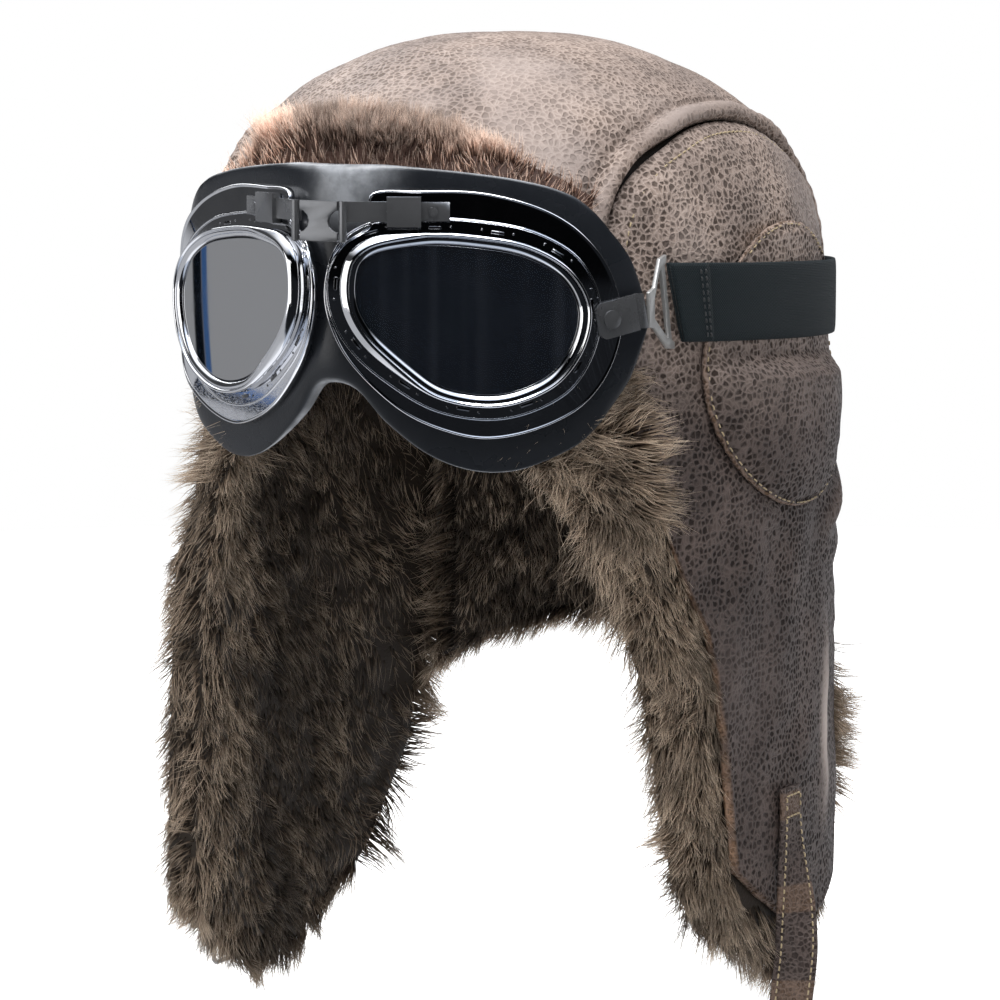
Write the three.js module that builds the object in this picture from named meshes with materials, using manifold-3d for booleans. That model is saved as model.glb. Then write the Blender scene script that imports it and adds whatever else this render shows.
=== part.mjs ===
// An aviator hat of cracked brown leather with a deep fur lining, worn with chrome flying goggles.
// Millimetres, +Z up. The front looks along -Y and the wearer's left is +X.
// The origin is the point inside the crown where the top of the head rests.

import * as THREE from 'three';
import { mergeVertices } from 'three/addons/utils/BufferGeometryUtils.js';
import Module from 'manifold-3d';

const wasm = await Module();
wasm.setup();

// Driving dimensions of the cap
const halfWidth = 97;
const halfDepth = 115;
const power = 2.15;
const crownTop = 12;
const rimZ = -70;
const crownRise = crownTop - rimZ;
const crownLean = 12;
const leather = 2;
const gap = 0.35;
const furDepth = 9;
const stripHalf = 76;
const weltHeight = 1.8;
const flareDepth = 4.5;
const flareTop = -88;
const flareRun = 60;
const browZ = -84;
const napeZ = -189;
const napeDip = 20;

// Driving dimensions of the two flaps; the right one hangs longer and is splayed outwards
const flapTop = -195;
const flapStretch = { left: 1, right: 1.2 };
const flapSplay = { left: 1, right: 14 };
const splayTop = -105;
const splayRun = 190;

// Driving dimensions of the goggles
const eyeX = 42;
const eyeY = -118.7;
const eyeZ = -75.4;
const eyeTurn = THREE.MathUtils.degToRad(29);
const rimRadius = 2.1;
const rimFlat = 1.5;
const plateThick = 1.6;
const plateBack = -4.4;
const strapWidth = 25.5;
const strapThick = 1.6;

// Driving dimensions of the chin strap and its buckle
const chinWidth = 14.5;
const chinThick = 2.2;
const chinTopZ = -238;
const chinEndZ = -342;
const chinTopY = -5;
const chinLowY = -11;
const chinTwist = THREE.MathUtils.degToRad(62);
const tabWidth = 11;
const tabTopZ = -262;
const tabY = -8;
const barZ = -309;
const wire = 0.85;
const buckleHalf = 7;
const buckleTall = 12;

const sideSign = { left: 1, right: -1 };
const clamp = THREE.MathUtils.clamp;
const lerp = THREE.MathUtils.lerp;
const ease = (v) => THREE.MathUtils.smoothstep(v, 0, 1);

// A repeatable number from 0 to 1 for each whole number, used to vary the locks of fur.
const scatter = (k) => {
  const s = Math.sin(k * 127.1 + 11.7) * 43758.5453;
  return s - Math.floor(s);
};

// Reads a table of [key, value] rows at any key, with smooth steps between rows.
const read = (table, key) => {
  const rising = table[0][0] < table[table.length - 1][0];
  const rows = rising ? table : [...table].reverse();
  if (key <= rows[0][0]) return rows[0][1];
  for (let i = 1; i < rows.length; i++) {
    if (key <= rows[i][0]) {
      const t = (key - rows[i - 1][0]) / (rows[i][0] - rows[i - 1][0]);
      return lerp(rows[i - 1][1], rows[i][1], t);
    }
  }
  return rows[rows.length - 1][1];
};

// What is left of 1 once the other two shares of the rounded body are taken off.
const rest = (...shares) => {
  const left = 1 - shares.reduce((sum, s) => sum + Math.abs(s) ** power, 0);
  return Math.max(0, left) ** (1 / power);
};

const heightShare = (z) => Math.max(0, z - rimZ) / crownRise;
const lean = (z) => -crownLean * heightShare(z);

// The outward direction of the cap's body at a point, with y measured from the leaning middle.
const bodyNormal = (x, y, z) => {
  const part = (v, size) => (Math.sign(v) * Math.abs(v / size) ** (power - 1)) / size;
  return new THREE.Vector3(part(x, halfWidth), part(y, halfDepth), part(heightShare(z) * crownRise, crownRise)).normalize();
};

// The body stands wider below the strap than where the strap draws it in.
const flare = (z) => flareDepth * ease((flareTop - z) / flareRun);

// A point of the cap's body, moved out along its normal by depth.
const bodyPoint = (x, y, z, depth) => {
  const p = new THREE.Vector3(x, y + lean(z), z);
  return p.addScaledVector(bodyNormal(x, y, z), depth + flare(z));
};

// The side wall at a distance y along the head.
const sidePoint = (side, y, z, depth) => {
  const x = sideSign[side] * halfWidth * rest(y / halfDepth, heightShare(z));
  const p = bodyPoint(x, y, z, depth);
  const drop = clamp((splayTop - z) / splayRun, 0, 1.3);
  const free = lerp(1, ease((-z - 185) / 40), ease((y - 20) / 50));
  p.x += sideSign[side] * flapSplay[side] * free * drop;
  if (z < flapTop) p.z = flapTop + (z - flapTop) * flapStretch[side];
  return p;
};

// The centre strip's surface: x across, and a path that goes up the forehead, over and down the nape.
const stripPoint = (x, turn, lowZ, depth) => {
  const reach = rest(x / halfWidth);
  if (lowZ !== null) {
    const y = Math.sign(turn - Math.PI / 2) * halfDepth * reach;
    return bodyPoint(x, y, lowZ, depth);
  }
  const c = -Math.sign(Math.cos(turn)) * Math.abs(Math.cos(turn)) ** (2 / power);
  const s = Math.abs(Math.sin(turn)) ** (2 / power);
  return bodyPoint(x, halfDepth * reach * c, rimZ + crownRise * reach * s, depth);
};

// A closed body between two sheets of points, each a list of rows of the same length.
const wallGeometry = (outer, inner, flip) => {
  const rows = outer.length;
  const cols = outer[0].length;
  const position = [];
  const index = [];
  [...outer, ...inner].forEach((row) => row.forEach((p) => position.push(p.x, p.y, p.z)));
  const at = (sheet, r, c) => sheet * rows * cols + r * cols + c;
  const quad = (a, b, c, d) => (flip ? index.push(a, c, b, a, d, c) : index.push(a, b, c, a, c, d));
  for (let r = 0; r + 1 < rows; r++) {
    for (let c = 0; c + 1 < cols; c++) {
      quad(at(0, r, c), at(0, r + 1, c), at(0, r + 1, c + 1), at(0, r, c + 1));
      quad(at(1, r, c), at(1, r, c + 1), at(1, r + 1, c + 1), at(1, r + 1, c));
    }
    quad(at(0, r, 0), at(1, r, 0), at(1, r + 1, 0), at(0, r + 1, 0));
    quad(at(0, r, cols - 1), at(0, r + 1, cols - 1), at(1, r + 1, cols - 1), at(1, r, cols - 1));
  }
  for (let c = 0; c + 1 < cols; c++) {
    quad(at(0, 0, c), at(0, 0, c + 1), at(1, 0, c + 1), at(1, 0, c));
    quad(at(0, rows - 1, c), at(1, rows - 1, c), at(1, rows - 1, c + 1), at(0, rows - 1, c + 1));
  }
  return closed(position, index);
};

// A closed body through loops of points that share one count, capped at both ends or joined in a ring.
const loftGeometry = (loops, ring = false) => {
  const n = loops[0].length;
  const position = [];
  const index = [];
  loops.forEach((loop) => loop.forEach((p) => position.push(p.x, p.y, p.z)));
  const last = ring ? loops.length : loops.length - 1;
  for (let r = 0; r < last; r++) {
    const s = (r + 1) % loops.length;
    for (let c = 0; c < n; c++) {
      const d = (c + 1) % n;
      index.push(r * n + c, s * n + c, s * n + d, r * n + c, s * n + d, r * n + d);
    }
  }
  if (!ring) {
    const cap = (loop, base, turned) => {
      const middle = loop.reduce((m, p) => m.add(p), new THREE.Vector3()).divideScalar(n);
      position.push(middle.x, middle.y, middle.z);
      const m = position.length / 3 - 1;
      for (let c = 0; c < n; c++) {
        const d = (c + 1) % n;
        turned ? index.push(m, base + d, base + c) : index.push(m, base + c, base + d);
      }
    };
    cap(loops[0], 0, false);
    cap(loops[loops.length - 1], (loops.length - 1) * n, true);
  }
  return closed(position, index);
};

// Builds the geometry and turns its faces outwards if its volume came out negative.
const closed = (position, index) => {
  const geometry = new THREE.BufferGeometry();
  geometry.setAttribute('position', new THREE.Float32BufferAttribute(position, 3));
  geometry.setIndex(index);
  let volume = 0;
  const p = (i) => new THREE.Vector3(position[3 * i], position[3 * i + 1], position[3 * i + 2]);
  for (let i = 0; i < index.length; i += 3) {
    volume += p(index[i]).dot(p(index[i + 1]).cross(p(index[i + 2])));
  }
  if (volume < 0) geometry.setIndex(index.map((v, i) => index[i - (i % 3) + [0, 2, 1][i % 3]]));
  return geometry;
};

const toSolid = (geometry) => {
  const bare = geometry.clone();
  bare.deleteAttribute('normal');
  bare.deleteAttribute('uv');
  const merged = mergeVertices(bare, 1e-4);
  return new wasm.Manifold(
    new wasm.Mesh({
      numProp: 3,
      vertProperties: new Float32Array(merged.attributes.position.array),
      triVerts: new Uint32Array(merged.index.array),
    }),
  );
};

const toGeometry = (solid) => {
  const mesh = solid.getMesh();
  const geometry = new THREE.BufferGeometry();
  geometry.setAttribute('position', new THREE.BufferAttribute(new Float32Array(mesh.vertProperties), 3));
  geometry.setIndex(Array.from(mesh.triVerts));
  return geometry;
};

// A flat plate with one window, from their outlines in the plate's own plane and a function that places a point.
const windowPlate = (outline, window, place, thick) => {
  const around = (points) => {
    const flat = points.map(([a, b]) => new THREE.Vector2(a, b));
    return THREE.ShapeUtils.area(flat) < 0 ? flat.reverse() : flat;
  };
  const ring = around(outline);
  const hole = around(window).reverse();
  const flat = [...ring, ...hole];
  const n = flat.length;
  const index = [];
  THREE.ShapeUtils.triangulateShape(ring, [hole]).forEach(([a, b, c]) => {
    const [q, r] = THREE.ShapeUtils.area([flat[a], flat[b], flat[c]]) > 0 ? [b, c] : [c, b];
    index.push(a, r, q, n + a, n + q, n + r);
  });
  const edge = (start, count) => {
    for (let i = 0; i < count; i++) {
      const a = start + i;
      const b = start + ((i + 1) % count);
      index.push(a, b, n + b, a, n + b, n + a);
    }
  };
  edge(0, ring.length);
  edge(ring.length, hole.length);
  const side = (lift) => flat.flatMap((p) => place([p.x, p.y])(lift).toArray());
  return closed([...side(-thick / 2), ...side(thick / 2)], index);
};

const join = (...geometries) => toGeometry(geometries.map(toSolid).reduce((a, b) => a.add(b)));
const cut = (geometry, ...tools) => toGeometry(tools.map(toSolid).reduce((a, b) => a.subtract(b), toSolid(geometry)));

const finishes = {
  leather: { color: 0x786458, roughness: 0.55, metalness: 0 },
  fur: { color: 0x5a4a3c, roughness: 1, metalness: 0 },
  redFur: { color: 0x7a4e3c, roughness: 1, metalness: 0 },
  padding: { color: 0x17191c, roughness: 0.45, metalness: 0 },
  chrome: { color: 0xd8dadd, roughness: 0.08, metalness: 1 },
  steel: { color: 0x9c9d9f, roughness: 0.35, metalness: 1 },
  lens: { color: 0x14181d, roughness: 0.04, metalness: 0.2 },
  elastic: { color: 0x171c1d, roughness: 0.9, metalness: 0 },
};

const group = new THREE.Group();
const add = (name, geometry, finish, parent = group) => {
  const mesh = new THREE.Mesh(geometry, new THREE.MeshStandardMaterial(finishes[finish]));
  mesh.name = name;
  parent.add(mesh);
  return mesh;
};

// Centre strip: one long panel from the brow over the crown to the nape, with a raised welt along each side
const stripEdge = stripHalf - gap;
const browEdge = (x) => browZ;
const napeEdge = (x) => napeZ - napeDip * Math.abs(x / stripHalf) ** 3;

const stripSheet = (columns, arcs, napes, lowBrow, lowNape, depthAt) =>
  columns.map((x) => {
    const row = [stripPoint(x, 0, lowBrow(x), depthAt(x))];
    for (let i = 0; i <= arcs; i++) row.push(stripPoint(x, (Math.PI * i) / arcs, null, depthAt(x)));
    for (let i = 1; i <= napes; i++) {
      row.push(stripPoint(x, Math.PI, lerp(rimZ, lowNape(x), i / napes), depthAt(x)));
    }
    return row;
  });

// Distances across from the middle, first given for one half
const stripColumns = [0, 24, 46, 66.5];
const bothWays = (half) => [...half.slice(1).reverse().map((x) => -x), ...half];
const arcSteps = 18;
const napeSteps = 5;
const makeCentreStrip = () => {
  const columns = bothWays([...stripColumns, 72.5, stripEdge]);
  const welt = (x) => (Math.abs(x) > 70 ? weltHeight * (Math.abs(x) > 74 ? 0.7 : 1) : 0);
  const outer = stripSheet(columns, arcSteps, napeSteps, browEdge, napeEdge, welt);
  const inner = stripSheet(columns, arcSteps, napeSteps, browEdge, napeEdge, () => -leather);
  return wallGeometry(outer, inner, false);
};
add('crown_centre_panel', makeCentreStrip(), 'leather');

// Side panels: each runs from the welt down over the ear and on into the ear flap
const seamX = stripHalf + gap;
const seamY = halfDepth * rest(seamX / halfWidth);
const frontEdge = [
  [-88, -seamY],
  [-112, -73],
  [-131, -69.5],
  [-148, -63],
  [-164, -57],
  [-180, -49],
  [-195, -45],
  [-234, -40],
  [-262, -36],
  [-274, -29],
  [-290, -16],
];
const backEdge = [
  [-198, seamY],
  [-212, 74],
  [-235, 67],
  [-258, 62],
  [-274, 55],
  [-290, 40],
];
// Share of the way from the front edge to the back edge, and how low the hem is there
const hem = [
  [0, -262],
  [0.08, -272],
  [0.2, -281],
  [0.35, -287],
  [0.55, -289.5],
  [0.75, -287],
  [0.9, -280],
  [1, -266],
];

const panelSheet = (side, shares, rows, edges, depthAt) =>
  shares.map((share) => {
    const topY = lerp(-edges.topY, edges.topY, share);
    const top = edges.top(topY);
    const low = edges.hem(share);
    return rows.map((down) => {
      const z = lerp(top, low, down);
      const y = edges.across(share, z);
      return sidePoint(side, y, z, depthAt(y, z, share, down));
    });
  });

const leatherEdges = {
  topY: seamY,
  top: (y) => rimZ + crownRise * rest(seamX / halfWidth, y / halfDepth),
  across: (share, z) => lerp(read(frontEdge, z), read(backEdge, z), share),
  hem: (share) => read(hem, share),
};

// Soft folds that stand out of the leather: place, slope, half length, half width and height of each
const folds = {
  left: [
    { y: 46, z: -148, slope: 20, long: 30, wide: 8, high: 3.2 },
    { y: 54, z: -163, slope: 15, long: 22, wide: 8, high: 1.6 },
  ],
  right: [
    { y: 40, z: -158, slope: 15, long: 30, wide: 9, high: 2 },
    { y: -18, z: -215, slope: 78, long: 44, wide: 11, high: 1.8 },
  ],
};
const foldLift = (side, y, z) =>
  folds[side].reduce((lift, fold) => {
    const slope = THREE.MathUtils.degToRad(fold.slope);
    const along = ((y - fold.y) * Math.cos(slope) + (z - fold.z) * Math.sin(slope)) / fold.long;
    const across = ((z - fold.z) * Math.cos(slope) - (y - fold.y) * Math.sin(slope)) / fold.wide;
    return lift + fold.high * ease(1 - Math.abs(along)) * ease(1 - Math.abs(across));
  }, 0);

const panelShares = [0, 0.05, 0.13, 0.24, 0.36, 0.48, 0.6, 0.71, 0.82, 0.91, 1];
const panelRows = [0, 0.08, 0.16, 0.25, 0.34, 0.42, 0.475, 0.52, 0.56, 0.6, 0.65, 0.71, 0.78, 0.86, 0.93, 1];
const makeSidePanel = (side) => {
  const outer = panelSheet(side, panelShares, panelRows, leatherEdges, (y, z) => foldLift(side, y, z));
  const inner = panelSheet(side, panelShares, panelRows, leatherEdges, (y, z) => foldLift(side, y, z) - leather);
  return wallGeometry(outer, inner, side === 'right');
};
['left', 'right'].forEach((side) => add(`side_panel_${side}`, makeSidePanel(side), 'leather'));

// Ear patches: padded ovals sewn over the ears, pressed flat where the goggle strap crosses
const patchY = 4.5;
const patchZ = -97;
const patchHalf = 53;
const patchTall = 47;
const patchBulge = 8;
const patchEdge = 1.1;
const patchGap = 1;
const strapZ = (y) => lerp(-71.5, -82, clamp((y + 70) / 190, 0, 1));

// Shares of the patch's height, close together beside the strap, and of its width
const patchLevels = [-0.99, -0.88, -0.68, -0.44, -0.2, 0.02, 0.16, 0.75, 0.85, 0.99];
const patchShares = [-1, -0.86, -0.58, -0.2, 0.2, 0.58, 0.86, 1];
const makeEarPatch = (side) => {
  const sheet = (base) =>
    patchLevels.map((level) => {
      const reach = Math.sqrt(1 - level * level);
      return patchShares.map((share) => {
        const y = patchY + patchHalf * reach * share;
        const z = patchZ + patchTall * level;
        const centred = 1 - Math.hypot(level, reach * share) ** 2;
        const press = ease((Math.abs(z - strapZ(y)) - strapWidth / 2 - 4) / 9);
        const swell = patchEdge + patchBulge * Math.max(0, centred) ** 0.7 * press;
        return sidePoint(side, y, z, base ? patchGap : patchGap + swell);
      });
    });
  return wallGeometry(sheet(false), sheet(true), side === 'left');
};
['left', 'right'].forEach((side) => add(`ear_patch_${side}`, makeEarPatch(side), 'leather'));

// Fur: a soft backing under the leather, with locks fused along its edges
const lockGeometry = (root, direction, length, width) => {
  const along = direction.clone().normalize();
  const across = new THREE.Vector3(0.31, 0.62, 0.72).cross(along).normalize();
  const third = along.clone().cross(across);
  const base = [0, 1, 2].map((k) => {
    const angle = (2 * Math.PI * k) / 3;
    return root.clone().addScaledVector(across, width * Math.cos(angle)).addScaledVector(third, width * Math.sin(angle));
  });
  const tip = root.clone().addScaledVector(along, length);
  const position = [...base, tip].flatMap((p) => [p.x, p.y, p.z]);
  return closed(position, [0, 2, 1, 0, 1, 3, 1, 2, 3, 2, 0, 3]);
};

const withLocks = (backing, locks) => {
  let solid = toSolid(backing);
  locks.forEach((lock) => {
    solid = solid.add(toSolid(lock));
  });
  return toGeometry(solid);
};

// Bowl of fur inside the crown
const furGap = 1;
const furOuter = -(leather + furGap);
const furInner = furOuter - furDepth;
const makeCrownFur = () => {
  const spokes = 24;
  const bands = [0.3, 0.58, 0.84, 1];
  const loop = (share, depth, low) =>
    [...Array(spokes).keys()].map((k) => {
      const angle = (-2 * Math.PI * k) / spokes;
      const c = Math.sign(Math.cos(angle)) * Math.abs(Math.cos(angle)) ** (2 / power) * share;
      const s = Math.sign(Math.sin(angle)) * Math.abs(Math.sin(angle)) ** (2 / power) * share;
      const z = low ?? rimZ + crownRise * Math.max(0, 1 - share ** power) ** (1 / power);
      return bodyPoint(halfWidth * c, halfDepth * s, z, depth);
    });
  const bowlOuter = furOuter - 1.5;
  const outer = bands.map((share) => loop(share, bowlOuter, null));
  const inner = bands.map((share) => loop(share, furInner, null));
  return loftGeometry([...outer, loop(1, bowlOuter, browZ), loop(1, furInner, browZ), ...inner.reverse()]);
};
add('crown_fur_lining', makeCrownFur(), 'fur');

// Fur inside the nape, showing as a fringe below the leather
const napeFurHalf = stripHalf - 0.6;
const napeFurTop = browZ - 0.6;
const napeFurLow = (x) => napeEdge(x) - 11;
const makeNapeFur = () => {
  const columns = bothWays([...stripColumns, napeFurHalf]);
  const rows = 5;
  const sheet = (depth) =>
    columns.map((x) =>
      [...Array(rows + 1).keys()].map((i) => stripPoint(x, Math.PI, lerp(napeFurTop, napeFurLow(x), i / rows), depth)),
    );
  const locks = [...Array(17).keys()].map((k) => {
    const x = lerp(-napeFurHalf + 3, napeFurHalf - 3, k / 16);
    const depth = furOuter - 2 - (furDepth - 4) * scatter(k);
    const root = stripPoint(x, Math.PI, napeFurLow(x) + 3, depth);
    const direction = new THREE.Vector3(0.5 * (scatter(k + 50) - 0.5), 0.25 * (scatter(k + 90) - 0.6), -1);
    return lockGeometry(root, direction, 10 + 9 * scatter(k + 20), 4.2);
  });
  return withLocks(wallGeometry(sheet(furOuter), sheet(furInner - 3), false), locks);
};
add('nape_fur_lining', makeNapeFur(), 'fur');

// Fur inside each flap, with a thick fringe in front of and below the leather
const fringeFront = [
  [-86, 14],
  [-105, 20],
  [-124, 25],
  [-134, 21],
  [-145, 20],
  [-165, 24],
  [-195, 23],
  [-262, 21],
];
const fringeBulge = { left: 2.5, right: 9 };
const flapFurTop = browZ - 0.6;
const flapFurDepth = 12;
const lockWidth = 4.8;
// How far the fur reaches past the leather's back edge, most of all beside the nape
const fringeBack = [
  [-196, 5],
  [-214, 10],
  [-240, 9],
  [-262, 5],
];
// The first share of the way across is the fringe in front of the leather
const fringeShare = 0.16;
const furEdges = {
  topY: seamY - 0.6,
  top: () => flapFurTop,
  across: (share, z) => {
    const leatherFront = read(frontEdge, z) - 2;
    const back = Math.min(seamY - 0.6, read(backEdge, z) + read(fringeBack, z));
    if (share > fringeShare) return lerp(leatherFront, back, (share - fringeShare) / (1 - fringeShare));
    return leatherFront - read(fringeFront, z) * (1 - share / fringeShare);
  },
  hem: (share) => read(hem, share) - 12,
};

// Past the leather's front edge the fringe swells outwards
const bulgeAt = (side, y, z) =>
  fringeBulge[side] * ease((read(frontEdge, z) - y - 2) / 8) * ease((-120 - z) / 60);
// Where the right flap is splayed its fur hangs a little clear of the leather
const slackAt = (side, y, z) => (side === 'right' ? 1.4 * ease((y - 5) / 25) * ease((-160 - z) / 20) : 0);
const furSkin = (side, y, z) => furOuter + bulgeAt(side, y, z) - slackAt(side, y, z);

const makeFlapFur = (side) => {
  const shares = [0, 0.06, 0.12, fringeShare, 0.3, 0.45, 0.6, 0.75, 0.89, 1];
  const rows = [...Array(12).keys()].map((i) => i / 11);
  const outer = panelSheet(side, shares, rows, furEdges, (y, z) => furSkin(side, y, z));
  const inner = panelSheet(side, shares, rows, furEdges, (y, z, share, down) => {
    const roll = Math.sin(Math.PI * clamp(share * 1.06, 0, 1)) ** 0.4;
    return furOuter - 3 - (flapFurDepth - 3) * roll * (1 - 0.5 * ease((down - 0.86) / 0.14));
  });
  const locks = [];
  const root = (share, down, lift) => {
    const z = lerp(flapFurTop, furEdges.hem(share), down);
    const y = furEdges.across(share, z);
    return sidePoint(side, y, z, furSkin(side, y, z) - lift);
  };
  const addLock = (share, down, lift, [out, forward, up], length) => {
    const along = new THREE.Vector3(sideSign[side] * out, forward, up);
    locks.push(lockGeometry(root(share, down, lift), along, length, lockWidth));
  };
  for (let k = 0; k < 13; k++) {
    const direction = [scatter(k) - 0.3, -1 - 0.4 * scatter(k + 7), -0.9];
    addLock(0.03, 0.14 + (0.85 * k) / 13, 2.5, direction, 11 + 5 * scatter(k + 3));
  }
  for (let k = 0; k < 10; k++) {
    const direction = [0.4 * (scatter(k + 60) - 0.5), 0.5 * (scatter(k + 61) - 0.6), -1];
    addLock(0.06 + (0.88 * k) / 9, 0.98, 4 * scatter(k + 9) + 1.5, direction, 12 + 7 * scatter(k + 40));
  }
  for (let k = 0; k < 3; k++) {
    addLock(0.97, 0.7 + 0.1 * k, 3.4, [0, 1, -0.8], 10 + 4 * scatter(k + 77));
  }
  return withLocks(wallGeometry(outer, inner, side === 'right'), locks);
};
['left', 'right'].forEach((side) => add(`flap_fur_${side}`, makeFlapFur(side), 'fur'));

// Turned-up fur over the forehead, pressed thin behind the goggles
const browFurTop = [
  [-1, -62],
  [-0.85, -46],
  [-0.6, -27],
  [-0.3, -18],
  [0, -16],
  [0.3, -18],
  [0.6, -24],
  [0.85, -32],
  [1, -42],
];
// Height of the mask's top edge by distance across; the fur stands up above it
const maskTop = [
  [0, -27],
  [44, -29.5],
  [56, -31.5],
  [68, -35],
  [78, -41],
];
const browFurHalf = 65;
const makeBrowFur = () => {
  const columns = bothWays([0, 12, 24, 35, 46, 56, browFurHalf]).map((x) => x / browFurHalf);
  const rows = 6;
  const place = (share, up, depth) => {
    const x = share * browFurHalf;
    const z = lerp(browZ + 2, read(browFurTop, share), up);
    const y = -halfDepth * rest(x / halfWidth, heightShare(z));
    return bodyPoint(x, y, z, depth);
  };
  const lift = (share, up) => {
    const z = lerp(browZ + 2, read(browFurTop, share), up);
    return 1.6 + 6.3 * ease((z + 1 - read(maskTop, Math.abs(share * browFurHalf))) / 7);
  };
  const sheet = (depthAt) =>
    columns.map((s) => [...Array(rows + 1).keys()].map((i) => place(s, i / rows, depthAt(s, i / rows))));
  const locks = [...Array(16).keys()].map((k) => {
    const share = -0.82 + (1.74 * k) / 15;
    const root = place(share, 0.94, furGap + lift(share, 0.94) * (0.6 + 0.15 * scatter(k)));
    const direction = new THREE.Vector3(share * 0.4, -0.35 * scatter(k + 5), 1);
    return lockGeometry(root, direction, 9 + 4 * scatter(k + 12), 3.8);
  });
  return withLocks(wallGeometry(sheet(() => furGap), sheet((s, up) => furGap + lift(s, up)), false), locks);
};
add('forehead_fur', makeBrowFur(), 'redFur');

// Goggles: everything is laid out in the plane of one eye, which bends back past its outer end
const bendStart = 34;
const bendRadius = 30;
const bendAngle = THREE.MathUtils.degToRad(30);

// From the plane of one eye (outwards, up, forwards) to the hat.
const eyePoint = (side, u, w, n) => {
  const turn = clamp((u - bendStart) / bendRadius, 0, bendAngle);
  const straight = Math.min(u, bendStart);
  const beyond = Math.max(0, u - bendStart - bendRadius * bendAngle);
  const angle = eyeTurn + turn;
  const along = straight * Math.cos(eyeTurn) + bendRadius * (Math.sin(angle) - Math.sin(eyeTurn)) + beyond * Math.cos(angle);
  const back = straight * Math.sin(eyeTurn) + bendRadius * (Math.cos(eyeTurn) - Math.cos(angle)) + beyond * Math.sin(angle);
  const x = eyeX + along + n * Math.sin(angle);
  return new THREE.Vector3(sideSign[side] * x, eyeY + back - n * Math.cos(angle), eyeZ + w);
};

// The padded mask, by distance outwards from the middle of the left eye
const noseU = -eyeX / Math.cos(eyeTurn);
const maskColumns = [
  // outwards, top, bottom, depth
  [noseU, -27, -96, 15],
  [-37.7, -27, -98.5, 15],
  [-26.3, -27, -108, 15],
  [-12.6, -28, -118, 15],
  [2.3, -29.5, -123.5, 15],
  [16, -31.5, -123.5, 15],
  [29.7, -35, -118.5, 14],
  [40, -40, -113, 11],
  [49.5, -47.5, -105, 9],
  [57.5, -57, -95, 7.5],
  [63, -66, -87, 5],
];
const maskRecess = 5;
const maskSides = 12;
// How far the soft nose of the mask falls behind the meeting point of the two eye planes
const noseRound = (x) => Math.max(0, (Math.hypot(x, 12) - Math.abs(x)) * Math.tan(eyeTurn) - 0.9);
// Whether a point lies within the cap and the thin fur pressed against it
const insideFur = (p) => rest(p.x / (halfWidth + 4.4), p.y / (halfDepth + 5.4)) > 0;
const makeMask = () => {
  const halfLoop = (side, [u, top, low, deep]) => {
    const middle = (top + low) / 2 - eyeZ;
    const tall = (top - low) / 2;
    const face = eyePoint(side, u, 0, -maskRecess);
    const inward = eyePoint(side, u, 0, -maskRecess - 1).sub(face);
    face.y += noseRound(face.x);
    let back = 3;
    while (back < deep && !insideFur(face.clone().addScaledVector(inward, back + 0.5))) back += 0.25;
    return [...Array(maskSides).keys()].map((k) => {
      const angle = (2 * Math.PI * (k + 0.5)) / maskSides;
      const bend = (v) => Math.sign(v) * Math.abs(v) ** 0.5;
      const n = -maskRecess - back / 2 + (back / 2) * bend(Math.cos(angle));
      const p = eyePoint(side, u, middle + tall * bend(Math.sin(angle)), n);
      p.y += noseRound(p.x);
      if (u === noseU) p.x = 0;
      return p;
    });
  };
  const outwards = maskColumns.map((row) => halfLoop('left', row));
  const mirrored = maskColumns.slice(1).map((row) => halfLoop('right', row));
  return loftGeometry([...mirrored.reverse(), ...outwards]);
};

// Lens outline as seen from the front of the left eye: outwards from the nose, and up
const rimOutline = [
  [-39.3, 11.5],
  [-37, 20.5],
  [-30, 26],
  [-14.6, 27.7],
  [2.4, 27],
  [20.7, 23.5],
  [33.5, 15.7],
  [39.3, 4.5],
  [37.7, -7.7],
  [30.3, -19],
  [19, -25.3],
  [7.2, -27.4],
  [-8.2, -24.7],
  [-21, -17.3],
  [-32.2, -7.7],
  [-38, 2],
];
const plateOutline = [
  [-29.8, 30.5],
  [-29.8, 39.4],
  [-14, 40.7],
  [7.3, 39.8],
  [28.2, 33.2],
  [42.4, 21.9],
  [50.2, 8.7],
  [51.5, -3.9],
  [47.9, -14.6],
  [38.9, -25.8],
  [25, -33.9],
  [7.3, -37.7],
  [-6.6, -35.2],
  [-20.5, -28.6],
  [-36.3, -13.5],
  [-42.1, -2.9],
  [-44.4, 7.4],
  [-43, 17],
  [-38.5, 24],
];

const smoothLoop = (points, count) => {
  const curve = new THREE.CatmullRomCurve3(points.map(([u, w]) => new THREE.Vector3(u, w, 0)), true, 'centripetal');
  return curve.getSpacedPoints(count).slice(0, count);
};
// The loop moved inwards by a distance, square to its own run.
const inset = (loop, distance) =>
  loop.map((p, i) => {
    const before = loop[(i + loop.length - 1) % loop.length];
    const after = loop[(i + 1) % loop.length];
    const run = after.clone().sub(before).normalize();
    return new THREE.Vector3(p.x - run.y * distance * -1, p.y - run.x * distance, 0);
  });

const rimCount = 30;
const rimLoop = smoothLoop(rimOutline, rimCount);
const plateLoop = smoothLoop(plateOutline, 60);

// The same loop again, with its points at even steps of the angle about the middle of the eye.
const byAngle = (loop, count) =>
  [...Array(count).keys()].map((k) => {
    const aim = (2 * Math.PI * k) / count - Math.PI;
    const ray = new THREE.Vector2(Math.cos(aim), Math.sin(aim));
    const offSide = (p) => ray.x * p.y - ray.y * p.x;
    const next = (i) => loop[(i + 1) % loop.length];
    const i = loop.findIndex((p, j) => p.x * ray.x + p.y * ray.y > 0 && offSide(p) * offSide(next(j)) <= 0);
    return loop[i].clone().lerp(next(i), offSide(loop[i]) / (offSide(loop[i]) - offSide(next(i))));
  });

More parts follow.
